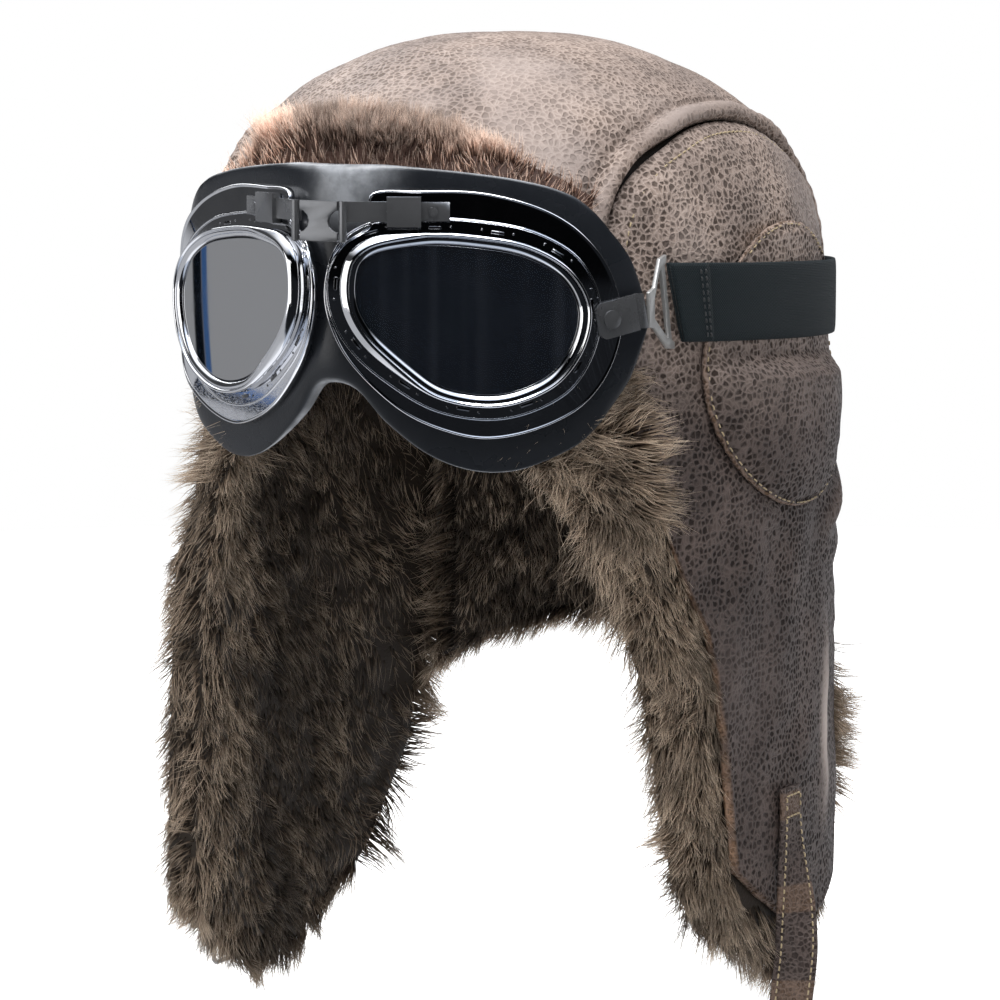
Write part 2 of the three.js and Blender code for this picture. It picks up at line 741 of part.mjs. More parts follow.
// A flat ring between two loops, which follows the bend of the eye's plane.
const ringPlate = (side, outerLoop, innerLoop, back, front) => {
  const count = 30;
  const outer = byAngle(outerLoop, count);
  const inner = byAngle(innerLoop, count);
  const loops = outer.map((p, i) => {
    const at = (share, n) => {
      const q = p.clone().lerp(inner[i], share);
      return eyePoint(side, q.x, q.y, n);
    };
    return [at(0, back), at(0, front), at(0.5, front), at(1, front), at(1, back), at(0.5, back)];
  });
  return loftGeometry(loops, true);
};

const prism = (side, loop, back, front) => {
  const sheet = (n) => loop.map((p) => eyePoint(side, p.x, p.y, n));
  return loftGeometry([sheet(back), sheet(front)]);
};
const makeRim = (side) => {
  // Inward distance and forward height of each corner of the double ring's section
  const section = [
    [0, -rimRadius],
    [0, 0.7],
    [1.1, rimRadius],
    [2.2, 1.3],
    [rimFlat + 2.2, 0.6],
    [rimFlat + 2.2, -rimRadius],
  ];
  const loops = rimLoop.map((_, i) =>
    section.map(([deep, n]) => {
      const p = inset(rimLoop, deep)[i];
      return eyePoint(side, p.x, p.y, n);
    }),
  );
  return loftGeometry(loops, true);
};

const lensInset = rimFlat + 2.2 + gap;
const makeLens = (side) => {
  const flat = inset(rimLoop, lensInset);
  const sheet = (share, n) => flat.map((p) => eyePoint(side, p.x * share, p.y * share, n));
  return loftGeometry([sheet(1, -1.9), sheet(1, -0.3), sheet(0.6, 0.5)]);
};

const makeMaskCut = () => {
  const tunnels = ['left', 'right'].map((side) => prism(side, inset(rimLoop, 7.5).filter((_, i) => i % 2), -60, 20));
  return cut(makeMask(), ...tunnels);
};
add('goggle_mask', makeMaskCut(), 'padding');

['left', 'right'].forEach((side) => {
  add(`eye_plate_${side}`, ringPlate(side, plateLoop, inset(rimLoop, 2), plateBack, plateBack + plateThick), 'chrome');
  add(`lens_rim_${side}`, makeRim(side), 'chrome');
  add(`lens_${side}`, makeLens(side), 'lens');
});

// Small flat plates and bars in the plane of one eye
const slab = (side, corners, back, front) =>
  prism(side, corners.map(([u, w]) => new THREE.Vector3(u, w, 0)), back, front);
const disc = (side, u, w, radius, back, front, sides = 12) => {
  const loop = [...Array(sides).keys()].map((k) => {
    const angle = (2 * Math.PI * k) / sides;
    return new THREE.Vector3(u + radius * Math.cos(angle), w + radius * Math.sin(angle), 0);
  });
  return prism(side, loop, back, front);
};

// Bridge over the nose: an H-shaped link between two pinned brackets
const bridgeY = -137.3;
const bridgeZ = -44.3;
const linkHalf = 6.9;
const linkTall = 6.4;
const linkThick = 1.2;
const barrelX = 8.6;
const barrelRadius = 1.3;
const upright = (x, y, low, high, radius, sides = 10) => {
  const ring = (z) =>
    [...Array(sides).keys()].map((k) => {
      const angle = (2 * Math.PI * k) / sides;
      return new THREE.Vector3(x + radius * Math.cos(angle), y + radius * Math.sin(angle), z);
    });
  return loftGeometry([ring(low), ring(high)]);
};
const alongY = (loop, back, front) =>
  loftGeometry([back, front].map((y) => loop.map(([x, z]) => new THREE.Vector3(x, y, z))));

const makeLink = () => {
  const box = [
    [-linkHalf, bridgeZ - linkTall],
    [linkHalf, bridgeZ - linkTall],
    [linkHalf, bridgeZ + linkTall],
    [-linkHalf, bridgeZ + linkTall],
  ];
  const bite = (sign) =>
    [...Array(12).keys()].map((k) => {
      const angle = (2 * Math.PI * k) / 12;
      return [sign * (linkHalf + 0.6) + 4 * Math.cos(angle), bridgeZ + 3.6 * Math.sin(angle)];
    });
  const front = bridgeY - linkThick / 2;
  const back = bridgeY + linkThick / 2;
  return cut(alongY(box, back, front), alongY(bite(1), back + 2, front - 2), alongY(bite(-1), back + 2, front - 2));
};
add('bridge_link', makeLink(), 'steel');

const bracketLow = 30.9;
const bracketHigh = 37.3;
const bracketBack = plateBack + plateThick + gap;
const makeBridgeBracket = (side) => {
  const s = sideSign[side];
  const barrel = upright(s * barrelX, bridgeY, bridgeZ - linkTall, bridgeZ + linkTall, barrelRadius);
  const strip = slab(side, [[-38, bracketLow], [-14, bracketLow], [-14, bracketHigh], [-38, bracketHigh]], bracketBack, bracketBack + 1.7);
  const loop = slab(side, [[-24.5, 29.4], [-13.8, 29.4], [-13.8, 38.8], [-24.5, 38.8]], bracketBack, bracketBack + 3);
  const slot = slab(side, [[-22.6, 31.4], [-12, 31.4], [-12, 36.6], [-22.6, 36.6]], bracketBack + 1.2, bracketBack + 2.2);
  const tail = slab(side, [[-14.2, 31.1], [-4.8, 31.1], [-4.8, 37.1], [-14.2, 37.1]], bracketBack, bracketBack + 1);
  const rivet = disc(side, -10, 34, 1.5, bracketBack + 0.5, bracketBack + 1.7);
  return join(barrel, strip, cut(loop, slot), tail, rivet);
};
['left', 'right'].forEach((side) => add(`bridge_bracket_${side}`, makeBridgeBracket(side), 'steel'));

// Side brackets: a strip riveted to the outer end of each eye plate, with a pinned loop for the strap
const bracketTilt = THREE.MathUtils.degToRad(11);
const ringU = 47;
const tilted = ([u, w]) => {
  const c = Math.cos(bracketTilt);
  const t = Math.sin(bracketTilt);
  return [ringU + (u - ringU) * c - w * t, (u - ringU) * t + w * c];
};
const hingeU = 58.6;
const makeSideBracket = (side) => {
  const stations = [41.8, 44, 48, 52, 55, 57];
  const strip = loftGeometry(
    stations.map((u) => {
      const half = u < 43 ? 4 : 5.8;
      const corner = (w, n) => {
        const [a, b] = tilted([u, w]);
        return eyePoint(side, a, b, n);
      };
      const back = bracketBack;
      return [corner(-half, back), corner(half, back), corner(half, back + 1.2), corner(-half, back + 1.2)];
    }),
  );
  const ring = disc(side, ringU, 0, 3, bracketBack + 0.7, bracketBack + 2.1, 14);
  const pin = loftGeometry(
    [-5.6, 5.6].map((w) => {
      const [u, high] = tilted([hingeU, w]);
      return [...Array(10).keys()].map((k) => {
        const angle = (2 * Math.PI * k) / 10;
        return eyePoint(side, u + 1.9 * Math.cos(angle), high, bracketBack + 0.5 + 1.1 * Math.sin(angle));
      });
    }),
  );
  return join(strip, ring, pin);
};
['left', 'right'].forEach((side) => add(`side_bracket_${side}`, makeSideBracket(side), 'steel'));

// A-shaped strap loop between the pin and the elastic
const loopStart = eyePoint('left', hingeU + 2.6, 2.3, bracketBack + 0.2);
const strapDepth = 3;
const strapStartY = -61.4;
const strapLean = 3.2;
const makeStrapLoop = (side) => {
  const s = sideSign[side];
  const barAt = sidePoint('left', strapStartY - 3.2, strapZ(strapStartY), strapDepth + strapThick / 2);
  const run = barAt.clone().sub(loopStart);
  const length = Math.hypot(run.x, run.y);
  const place = ([along, up]) => {
    const t = along / length;
    return (lift) => {
      const out = new THREE.Vector3(run.y, -run.x, 0).normalize().multiplyScalar(lift);
      const p = loopStart.clone().addScaledVector(run, t).add(out);
      return new THREE.Vector3(s * p.x, p.y, p.z + up);
    };
  };
  const lowLean = strapLean;
  const outer = [
    [0, -5.6],
    [4, -6.4],
    [length - 2 + lowLean, -14.8],
    [length + 3.6 + lowLean, -15.8],
    [length + 3.6 + lowLean, -13.6],
    [length + 1.2 + lowLean, -12.4],
    [length + 1.2 - lowLean, 12.4],
    [length + 2.6 - lowLean, 13],
    [length + 2.6 - lowLean, 15.6],
    [length - 2.6 - lowLean, 15],
    [4, 6.4],
    [0, 5.6],
  ];
  const inner = [
    [4.4, -3.4],
    [length - 2.4 + lowLean, -11.2],
    [length - 1.4 + lowLean, -11.2],
    [length - 1.4 - lowLean, 11.2],
    [length - 2.6 - lowLean, 11.2],
    [4.4, 3.4],
  ];
  return windowPlate(outer, inner, place, 1.4);
};
['left', 'right'].forEach((side) => add(`strap_loop_${side}`, makeStrapLoop(side), 'steel'));

// Elastic strap: a flat band round the cap from loop to loop
const makeStrap = () => {
  const steps = 31;
  const start = Math.asin(Math.abs(strapStartY / halfDepth) ** (power / 2));
  const loops = [];
  for (let i = 0; i <= steps; i++) {
    const angle = lerp(-start, Math.PI + start, i / steps);
    const c = Math.sign(Math.cos(angle)) * Math.abs(Math.cos(angle)) ** (2 / power);
    const sn = Math.sign(Math.sin(angle)) * Math.abs(Math.sin(angle)) ** (2 / power);
    const y = halfDepth * sn;
    const z = strapZ(y);
    const low = lerp(strapDepth, 2.3, ease((y - 60) / 30));
    // The two ends are cut parallel to the leaning bars of the loops
    const lean = i === 0 || i === steps ? strapLean : 0;
    const corner = (dz, depth) => {
      const cutY = y - (lean * dz) / (strapWidth / 2);
      const reach = lean ? halfWidth * rest(cutY / halfDepth) * Math.sign(c) : halfWidth * c;
      const p = bodyPoint(reach, cutY, Math.min(z, rimZ) - 0.001, depth);
      return new THREE.Vector3(p.x, p.y, z + dz);
    };
    loops.push([
      corner(-strapWidth / 2, low),
      corner(strapWidth / 2, low),
      corner(strapWidth / 2, low + strapThick),
      corner(-strapWidth / 2, low + strapThick),
    ]);
  }
  return loftGeometry(loops);
};
add('elastic_strap', makeStrap(), 'elastic');

// Chin strap on the left flap: sewn flat to the leather, then twisting as it hangs to a rounded end
const hemZ = -289;
const makeChinStrap = () => {
  const rows = [];
  for (let i = 0; i <= 14; i++) rows.push([lerp(chinTopZ, chinEndZ + 5, i / 14), chinWidth / 2]);
  rows.push([chinEndZ + 1.5, chinWidth / 2 - 2.2]);
  rows.push([chinEndZ, chinWidth / 2 - 4.5]);
  return loftGeometry(
    rows.map(([z, half]) => {
      const down = ease((chinTopZ - 8 - z) / 55);
      const twist = chinTwist * down;
      const y = lerp(chinTopY, chinLowY, down);
      const skin = sidePoint('left', y - half * Math.cos(twist), Math.max(z, hemZ), gap + 0.4);
      const x = skin.x + (chinWidth / 2) * Math.sin(twist) - 2.5 * ease((hemZ - z) / 30);
      const across = new THREE.Vector3(Math.sin(twist), Math.cos(twist), 0);
      const out = new THREE.Vector3(Math.cos(twist), -Math.sin(twist), 0);
      const at = (wide, lift) => new THREE.Vector3(x, y, z).addScaledVector(across, wide).addScaledVector(out, lift);
      return [at(-half, 0), at(half, 0), at(half, chinThick), at(-half, chinThick)];
    }),
  );
};
add('chin_strap', makeChinStrap(), 'leather');

// Buckle tab on the right flap: its folded end holds the bar of a wire buckle
const tubeAlongY = (x, z, radius, from, to, sides = 12) =>
  loftGeometry(
    [from, to].map((y) =>
      [...Array(sides).keys()].map((k) => {
        const angle = (2 * Math.PI * k) / sides;
        return new THREE.Vector3(x + radius * Math.cos(angle), y, z + radius * Math.sin(angle));
      }),
    ),
  );
const barX = sidePoint('right', tabY, -287, gap + 0.5).x - chinThick / 2;
const knuckle = 2.15;
const bore = wire + gap;
const slotHalf = 1.8;
const slotLow = -4.4;
const slotHigh = 8.6;
const makeTab = () => {
  const rows = [...Array(7).keys()].map((i) => lerp(tabTopZ, barZ + 0.6, i / 6));
  const tabHalf = tabWidth / 2;
  const band = loftGeometry(
    rows.map((z, i) => {
      const nominal = flapTop + (z - flapTop) / flapStretch.right;
      const skin = sidePoint('right', tabY, Math.max(nominal, hemZ), gap + 0.5).x;
      const x = lerp(skin, barX + chinThick / 2, ease((i - 3) / 3));
      const at = (y, lift) => new THREE.Vector3(x - lift, tabY + y, z);
      return [at(-tabHalf, 0), at(tabHalf, 0), at(tabHalf, chinThick), at(-tabHalf, chinThick)];
    }),
  );
  const roll = tubeAlongY(barX, barZ, knuckle, tabY - tabHalf, tabY + tabHalf);
  const hole = tubeAlongY(barX, barZ, bore, tabY - tabWidth, tabY + tabWidth);
  const slot = new THREE.BoxGeometry(8, 2 * slotHalf, slotHigh - slotLow);
  slot.translate(barX, tabY, barZ + (slotLow + slotHigh) / 2);
  return cut(join(band, roll), hole, slot);
};
add('buckle_tab', makeTab(), 'leather');

// Wire frame of the buckle: a rounded rectangle that hangs from the tab by its top bar
const makeBuckleFrame = () => {
  const r = 2.2;
  const high = barZ;
  const low = barZ - buckleTall;
  const corner = (y, z, from) =>
    [0, 0.5, 1].map((t) => {
      const angle = from + (Math.PI / 2) * t;
      return [y + r * Math.cos(angle), z + r * Math.sin(angle)];
    });
  const path = [
    ...corner(buckleHalf - r, high - r, 0),
    ...corner(-buckleHalf + r, high - r, Math.PI / 2),
    ...corner(-buckleHalf + r, low + r, Math.PI),
    ...corner(buckleHalf - r, low + r, (3 * Math.PI) / 2),
  ];
  const loops = path.map(([y, z], i) => {
    const [by, bz] = path[(i + path.length - 1) % path.length];
    const [ay, az] = path[(i + 1) % path.length];
    const run = new THREE.Vector2(ay - by, az - bz).normalize();
    return [...Array(6).keys()].map((k) => {
      const angle = (2 * Math.PI * k) / 6;
      const c = wire * Math.cos(angle);
      return new THREE.Vector3(barX + wire * Math.sin(angle), tabY + y + c * run.y, z - c * run.x);
    });
  });
  return loftGeometry(loops, true);
};
add('buckle_frame', makeBuckleFrame(), 'steel');

// Prong: an eye round the bar and a pin that rests on the outside of the lower bar
const prongWire = 0.6;
const makeProng = () => {
  const eyeOuter = tubeAlongY(barX, barZ, bore + 0.85, tabY - slotHalf + gap, tabY + slotHalf - gap, 14);
  const eyeHole = tubeAlongY(barX, barZ, bore, tabY - 4, tabY + 4, 14);
  const restX = barX - wire - gap - prongWire;
  const spine = [
    [barX - bore - 0.3, barZ - 0.4],
    [restX, barZ - 4],
    [restX, barZ - buckleTall + 0.5],
    [restX + 0.2, barZ - buckleTall - 1.6],
  ];
  const pin = loftGeometry(
    spine.map(([x, z]) =>
      [...Array(8).keys()].map((k) => {
        const angle = (2 * Math.PI * k) / 8;
        return new THREE.Vector3(x + prongWire * Math.cos(angle), tabY + prongWire * Math.sin(angle), z);
      }),
    ),
  );
  return cut(join(eyeOuter, pin), eyeHole);
};
add('buckle_prong', makeProng(), 'steel');

export default group;
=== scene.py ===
# %% [markdown]
# # An aviator hat with goggles
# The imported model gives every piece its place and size. This lesson dresses it: cracked leather panels,
# deep fur made of thousands of tapering strands, chrome goggles with a soft black mask, woven elastic and
# fine stitches. The frame comes first, because every surface below is worked out around it.

import bmesh
import bpy
import numpy as np
from mathutils import Matrix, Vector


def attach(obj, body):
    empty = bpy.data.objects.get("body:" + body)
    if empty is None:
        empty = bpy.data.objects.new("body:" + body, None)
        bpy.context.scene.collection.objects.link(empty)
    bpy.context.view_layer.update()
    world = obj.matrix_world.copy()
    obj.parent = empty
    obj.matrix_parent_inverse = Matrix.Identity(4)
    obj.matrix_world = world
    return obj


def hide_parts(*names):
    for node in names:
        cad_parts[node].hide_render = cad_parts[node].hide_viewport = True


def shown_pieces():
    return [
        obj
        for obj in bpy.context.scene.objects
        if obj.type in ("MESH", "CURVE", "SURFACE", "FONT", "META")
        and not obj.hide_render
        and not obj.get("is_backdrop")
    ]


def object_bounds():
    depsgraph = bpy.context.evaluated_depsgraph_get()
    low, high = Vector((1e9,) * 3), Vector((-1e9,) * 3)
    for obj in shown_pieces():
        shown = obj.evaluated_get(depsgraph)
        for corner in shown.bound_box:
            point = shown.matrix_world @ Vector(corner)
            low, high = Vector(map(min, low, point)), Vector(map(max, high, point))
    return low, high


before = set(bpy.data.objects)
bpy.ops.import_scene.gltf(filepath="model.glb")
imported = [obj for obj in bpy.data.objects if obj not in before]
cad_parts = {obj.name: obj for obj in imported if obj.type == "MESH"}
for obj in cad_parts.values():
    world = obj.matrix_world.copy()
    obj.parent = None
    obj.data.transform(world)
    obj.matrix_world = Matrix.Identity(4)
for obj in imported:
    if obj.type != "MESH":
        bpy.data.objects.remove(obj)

cad_box = [list(corner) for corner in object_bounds()]
MM = 0.001
HAT, BUCKLE, PRONG = "hat", "buckle", "prong"
print("nodes:", len(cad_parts), "box in mm:", [[round(v / MM) for v in c] for c in cad_box])

# %% [markdown]
# The photograph was taken from the front and a little to the wearer's left, slightly above the goggles,
# with a long lens. The camera is placed from those angles. The origin of the hat is the top of the head,
# which the photo shows near its upper edge, so the camera looks at a point below and beside it.

# %% Camera
AZIMUTH, ELEVATION = np.radians(28.0), np.radians(7.5)
DISTANCE = 1500.0
PIXELS_PER_MM = 2.95
IMAGE = 1000
ORIGIN_PIXEL = np.array([523.0, 66.0])


def camera_axes():
    """Back points from the hat to the camera, right and up span the picture."""
    level = np.cos(ELEVATION)
    back = np.array([np.sin(AZIMUTH) * level, -np.cos(AZIMUTH) * level, np.sin(ELEVATION)])
    right = np.array([np.cos(AZIMUTH), np.sin(AZIMUTH), 0.0])
    return back, right, np.cross(back, right)


def make_camera():
    back, right, up = camera_axes()
    off = (ORIGIN_PIXEL - IMAGE / 2) / PIXELS_PER_MM
    target = -right * off[0] + up * off[1]
    data = bpy.data.cameras.new("camera")
    data.sensor_width = 36.0
    data.lens = PIXELS_PER_MM * DISTANCE * data.sensor_width / IMAGE
    data.clip_start, data.clip_end = 0.05, 100.0
    camera = bpy.data.objects.new("camera", data)
    bpy.context.scene.collection.objects.link(camera)
    camera.rotation_mode = "QUATERNION"
    camera.rotation_quaternion = Matrix(np.stack([right, up, back], 1).tolist()).to_quaternion()
    camera.location = (target + back * DISTANCE) * MM
    bpy.context.scene.camera = camera
    print("camera lens:", round(data.lens), "mm, distance:", DISTANCE, "mm")


make_camera()

# %% [markdown]
# A few small helpers put numpy arrays into meshes. A sheet is a grid of points worked out from two
# parameters. Two sheets joined at their edges make a wall of leather or a layer of fur backing, and a grid
# that closes on itself makes a wire or a ring. No loop runs over the points: only whole arrays are used.

# %% Mesh helpers
def ease(v):
    """Smooth step: 0 below 0, 1 above 1, and 3v squared less 2v cubed between."""
    v = np.clip(v, 0, 1)
    return v * v * (3 - 2 * v)


def mix(a, b, t):
    return a + (b - a) * t


def unit(v):
    return v / np.maximum(1e-9, np.linalg.norm(v, axis=-1, keepdims=True))


def grid_quads(rows, cols, wrap_rows=False, wrap_cols=False, start=0):
    """Corner numbers of the quads of a grid stored row by row."""
    r = np.arange(rows if wrap_rows else rows - 1)
    c = np.arange(cols if wrap_cols else cols - 1)
    r, c = np.meshgrid(r, c, indexing="ij")
    r2, c2 = (r + 1) % rows, (c + 1) % cols
    quads = np.stack([r * cols + c, r2 * cols + c, r2 * cols + c2, r * cols + c2], -1)
    return quads.reshape(-1, 4) + start


def signed_volume(points, faces):
    """Six times the volume inside the faces, positive when they point outwards."""
    total = 0.0
    for k in range(1, faces.shape[1] - 1):
        a, b, c = points[faces[:, 0]], points[faces[:, k]], points[faces[:, k + 1]]
        total += np.einsum("ij,ij->", a, np.cross(b, c))
    return total


def add_mesh(name, points, face_sets, values=None, uv=None, smooth=True):
    """Makes an object from points in mm, a list of face arrays and named values for each point."""
    name = f"{name}_dressed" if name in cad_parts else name
    points = points.reshape(-1, 3)
    if sum(signed_volume(points, f) for f in face_sets) < 0:
        face_sets = [f[:, ::-1] for f in face_sets]
    mesh = bpy.data.meshes.new(name)
    corners = np.concatenate([f.ravel() for f in face_sets]).astype(np.int32)
    sizes = np.concatenate([np.full(len(f), f.shape[1]) for f in face_sets]).astype(np.int32)
    mesh.vertices.add(len(points))
    mesh.vertices.foreach_set("co", (points * MM).astype(np.float32).ravel())
    mesh.loops.add(len(corners))
    mesh.loops.foreach_set("vertex_index", corners)
    mesh.polygons.add(len(sizes))
    mesh.polygons.foreach_set("loop_start", np.concatenate([[0], np.cumsum(sizes)[:-1]]).astype(np.int32))
    mesh.polygons.foreach_set("loop_total", sizes)
    mesh.polygons.foreach_set("use_smooth", np.full(len(sizes), smooth))
    mesh.update(calc_edges=True)
    for key, value in (values or {}).items():
        attribute = mesh.attributes.new(key, "FLOAT", "POINT")
        attribute.data.foreach_set("value", np.broadcast_to(value, len(points)).astype(np.float32).ravel())
    if uv is not None:
        layer = mesh.uv_layers.new(name="flat")
        layer.data.foreach_set("uv", uv.reshape(-1, 2)[corners].astype(np.float32).ravel())
    obj = bpy.data.objects.new(name, mesh)
    bpy.context.scene.collection.objects.link(obj)
    return obj


def dress(obj, material, body=HAT, replaces=()):
    """Gives a piece its material and the body that it rides on, and hides the parts that it replaces."""
    obj.data.materials.clear()
    obj.data.materials.append(material)
    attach(obj, body)
    if replaces:
        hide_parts(*replaces)
    triangles = sum(len(p.vertices) - 2 for p in obj.data.polygons)
    print(f"{obj.name}: {triangles} triangles")
    return obj


def wall_faces(rows, cols):
    """Quads of two sheets of one size, the second stored after the first, joined all round their edges."""
    n = rows * cols
    outer = grid_quads(rows, cols)
    inner = grid_quads(rows, cols, start=n)[:, ::-1]
    left = np.arange(rows) * cols
    right = left + cols - 1
    low, high = np.arange(cols), (rows - 1) * cols + np.arange(cols)
    rim = np.concatenate([left, high[1:], right[::-1][1:], low[::-1][1:]])
    a, b = rim[:-1], rim[1:]
    a, b = np.append(a, rim[-1]), np.append(b, rim[0])
    keep = a != b
    edge = np.stack([b, a, a + n, b + n], -1)[keep]
    return [outer, inner, edge]


def wall(name, outer, inner, values=None):
    """A closed wall between two sheets of points, each shaped rows, columns, 3."""
    rows, cols = outer.shape[:2]
    both = np.concatenate([outer.reshape(-1, 3), inner.reshape(-1, 3)])
    doubled = {k: np.concatenate([v.ravel(), v.ravel()]) for k, v in (values or {}).items()}
    return add_mesh(name, both, wall_faces(rows, cols), doubled)


def tube_faces(rings, sides, closed_path):
    faces = [grid_quads(rings, sides, wrap_rows=closed_path, wrap_cols=True)]
    if not closed_path:
        faces.append(np.arange(sides)[None, :])
        faces.append((rings - 1) * sides + np.arange(sides)[None, ::-1])
    return faces


def circle(radius, sides):
    angle = np.linspace(0, 2 * np.pi, sides, endpoint=False)
    return np.stack([radius * np.cos(angle), radius * np.sin(angle)], -1)


# %% [markdown]
# The cap follows one rounded body: a superellipse of power 2.15 from above and from the side, which leans
# forward as it rises and stands a little wider below the strap. Every leather, fur and strap surface is
# this body moved out or in along its normal, so all of them nest as they do on the real hat.

# %% The body of the cap
HALF_WIDTH, HALF_DEPTH, POWER = 97.0, 115.0, 2.15
CROWN_TOP, RIM_Z, CROWN_LEAN = 12.0, -70.0, 12.0
CROWN_RISE = CROWN_TOP - RIM_Z
LEATHER = 2.0
GAP = 0.35
FLARE_DEPTH, FLARE_TOP, FLARE_RUN = 4.5, -88.0, 60.0
BROW_Z, NAPE_Z, NAPE_DIP = -84.0, -189.0, 20.0
STRIP_HALF = 76.0
FLAP_TOP = -195.0
STRETCH = {"left": 1.0, "right": 1.2}
SPLAY = {"left": 1.0, "right": 14.0}
SPLAY_TOP, SPLAY_RUN = -105.0, 190.0
SIGN = {"left": 1.0, "right": -1.0}


def rest(*shares):
    """What is left of 1 once the other shares of the rounded body are taken off."""
    left = 1 - sum(np.abs(s) ** POWER for s in shares)
    return np.maximum(0, left) ** (1 / POWER)


def height_share(z):
    return np.maximum(0, z - RIM_Z) / CROWN_RISE


def body_point(x, y, z, depth):
    """The point at x, y and z on the rounded body, leaning forward with height, moved out by depth."""
    x, y, z, depth = np.broadcast_arrays(x, y, z, depth)
    share = height_share(z)
    normal = unit(np.stack([
        np.sign(x) * np.abs(x / HALF_WIDTH) ** (POWER - 1) / HALF_WIDTH,
        np.sign(y) * np.abs(y / HALF_DEPTH) ** (POWER - 1) / HALF_DEPTH,
        share ** (POWER - 1) / CROWN_RISE,
    ], -1))
    out = depth + FLARE_DEPTH * ease((FLARE_TOP - z) / FLARE_RUN)
    return np.stack([x, y - CROWN_LEAN * share, z], -1) + normal * out[..., None]


def side_point(side, y, z, depth):
    """The side wall at y along the head. Below the ear it hangs as a flap, splayed out and stretched down."""
    y, z, depth = np.broadcast_arrays(y, z, depth)
    x = SIGN[side] * HALF_WIDTH * rest(y / HALF_DEPTH, height_share(z))
    p = body_point(x, y, z, depth)
    drop = np.clip((SPLAY_TOP - z) / SPLAY_RUN, 0, 1.3)
    free = mix(1, ease((-z - 185) / 40), ease((y - 20) / 50))
    p[..., 0] += SIGN[side] * SPLAY[side] * free * drop
    p[..., 2] = np.where(z < FLAP_TOP, FLAP_TOP + (z - FLAP_TOP) * STRETCH[side], p[..., 2])
    return p


def strip_point(x, turn, depth):
    """Over the crown: turn runs from 0 at the front rim to pi at the back rim."""
    reach = rest(x / HALF_WIDTH)
    c = -np.sign(np.cos(turn)) * np.abs(np.cos(turn)) ** (2 / POWER)
    s = np.abs(np.sin(turn)) ** (2 / POWER)
    return body_point(x, HALF_DEPTH * reach * c, RIM_Z + CROWN_RISE * reach * s, depth)


def wall_point(x, back, z, depth):
    """The upright front or back wall below the rim."""
    return body_point(x, back * HALF_DEPTH * rest(x / HALF_WIDTH), z, depth)


def ripple(p, size, seed):
    """Gentle unevenness from minus 1 to 1: a sum of six sine waves in fixed, scattered directions."""
    rng = np.random.default_rng(seed)
    total = np.zeros(p.shape[:-1])
    for _ in range(6):
        direction = unit(rng.normal(size=3)) * rng.uniform(0.6, 1.5)
        total += np.sin(p @ direction * 2 * np.pi / size + rng.uniform(0, 6.3))
    return total / 3.2


print("crown height above the rim:", CROWN_RISE, "mm")

# %% [markdown]
# Every finish is a node material that reads the place on the piece in metres, or a value stored on its
# points. A short helper adds one node and joins its inputs, so that a material reads as a list of steps.

# %% Node helpers
def node(tree, kind, inputs=None, **settings):
    """Adds a node, sets its options and fills its inputs with values or with other nodes' outputs."""
    made = tree.nodes.new(kind)
    for key, value in settings.items():
        setattr(made, key, value)
    for key, value in (inputs or {}).items():
        socket = made.inputs[key]
        if isinstance(value, bpy.types.NodeSocket):
            tree.links.new(value, socket)
        else:
            socket.default_value = value
    return made


def math(tree, operation, a, b=0.0, clamp=False):
    return node(tree, "ShaderNodeMath", {0: a, 1: b}, operation=operation, use_clamp=clamp).outputs[0]


def span(tree, value, low, high, to_low=0.0, to_high=1.0):
    """Maps low..high to to_low..to_high with a smooth step."""
    inputs = {"Value": value, "From Min": low, "From Max": high, "To Min": to_low, "To Max": to_high}
    return node(tree, "ShaderNodeMapRange", inputs, interpolation_type="SMOOTHSTEP").outputs[0]


def blend_colour(tree, share, a, b, blend_type="MIX"):
    made = node(tree, "ShaderNodeMix", data_type="RGBA", blend_type=blend_type)
    for index, value in ((0, share), (6, a), (7, b)):
        if isinstance(value, bpy.types.NodeSocket):
            tree.links.new(value, made.inputs[index])
        else:
            made.inputs[index].default_value = value if index == 0 else (*value, 1.0)
    return made.outputs[2]


def noise(tree, vector, scale, detail=3.0, roughness=0.55):
    inputs = {"Vector": vector, "Scale": scale, "Detail": detail, "Roughness": roughness}
    return node(tree, "ShaderNodeTexNoise", inputs).outputs["Fac"]


def vector_math(tree, operation, a, b):
    return node(tree, "ShaderNodeVectorMath", {0: a, 1: b}, operation=operation).outputs[0]


def scaled(tree, vector, share):
    made = node(tree, "ShaderNodeVectorMath", {0: vector}, operation="SCALE")
    tree.links.new(share, made.inputs["Scale"])
    return made.outputs[0]


def attribute(tree, name):
    return node(tree, "ShaderNodeAttribute", attribute_name=name).outputs["Fac"]


def place(tree):
    return node(tree, "ShaderNodeTexCoord").outputs["Object"]


def place_along(tree, letter):
    """How far along X, Y or Z a spot lies, in metres."""
    return node(tree, "ShaderNodeSeparateXYZ", {0: place(tree)}).outputs[letter]


def new_group(name, inputs, outputs):
    """A shader node group with named inputs (name, default) and float outputs."""
    tree = bpy.data.node_groups.new(name, "ShaderNodeTree")
    for label, value in inputs:
        kind = "NodeSocketVector" if value is None else "NodeSocketFloat"
        socket = tree.interface.new_socket(label, in_out="INPUT", socket_type=kind)
        if value is not None:
            socket.default_value = value
    for label in outputs:
        tree.interface.new_socket(label, in_out="OUTPUT", socket_type="NodeSocketFloat")
    return tree, tree.nodes.new("NodeGroupInput").outputs, tree.nodes.new("NodeGroupOutput").inputs


def use_group(tree, group, inputs):
    made = tree.nodes.new("ShaderNodeGroup")
    made.node_tree = group
    for key, value in inputs.items():
        if isinstance(value, bpy.types.NodeSocket):
            tree.links.new(value, made.inputs[key])
        else:
            made.inputs[key].default_value = value
    return made.outputs


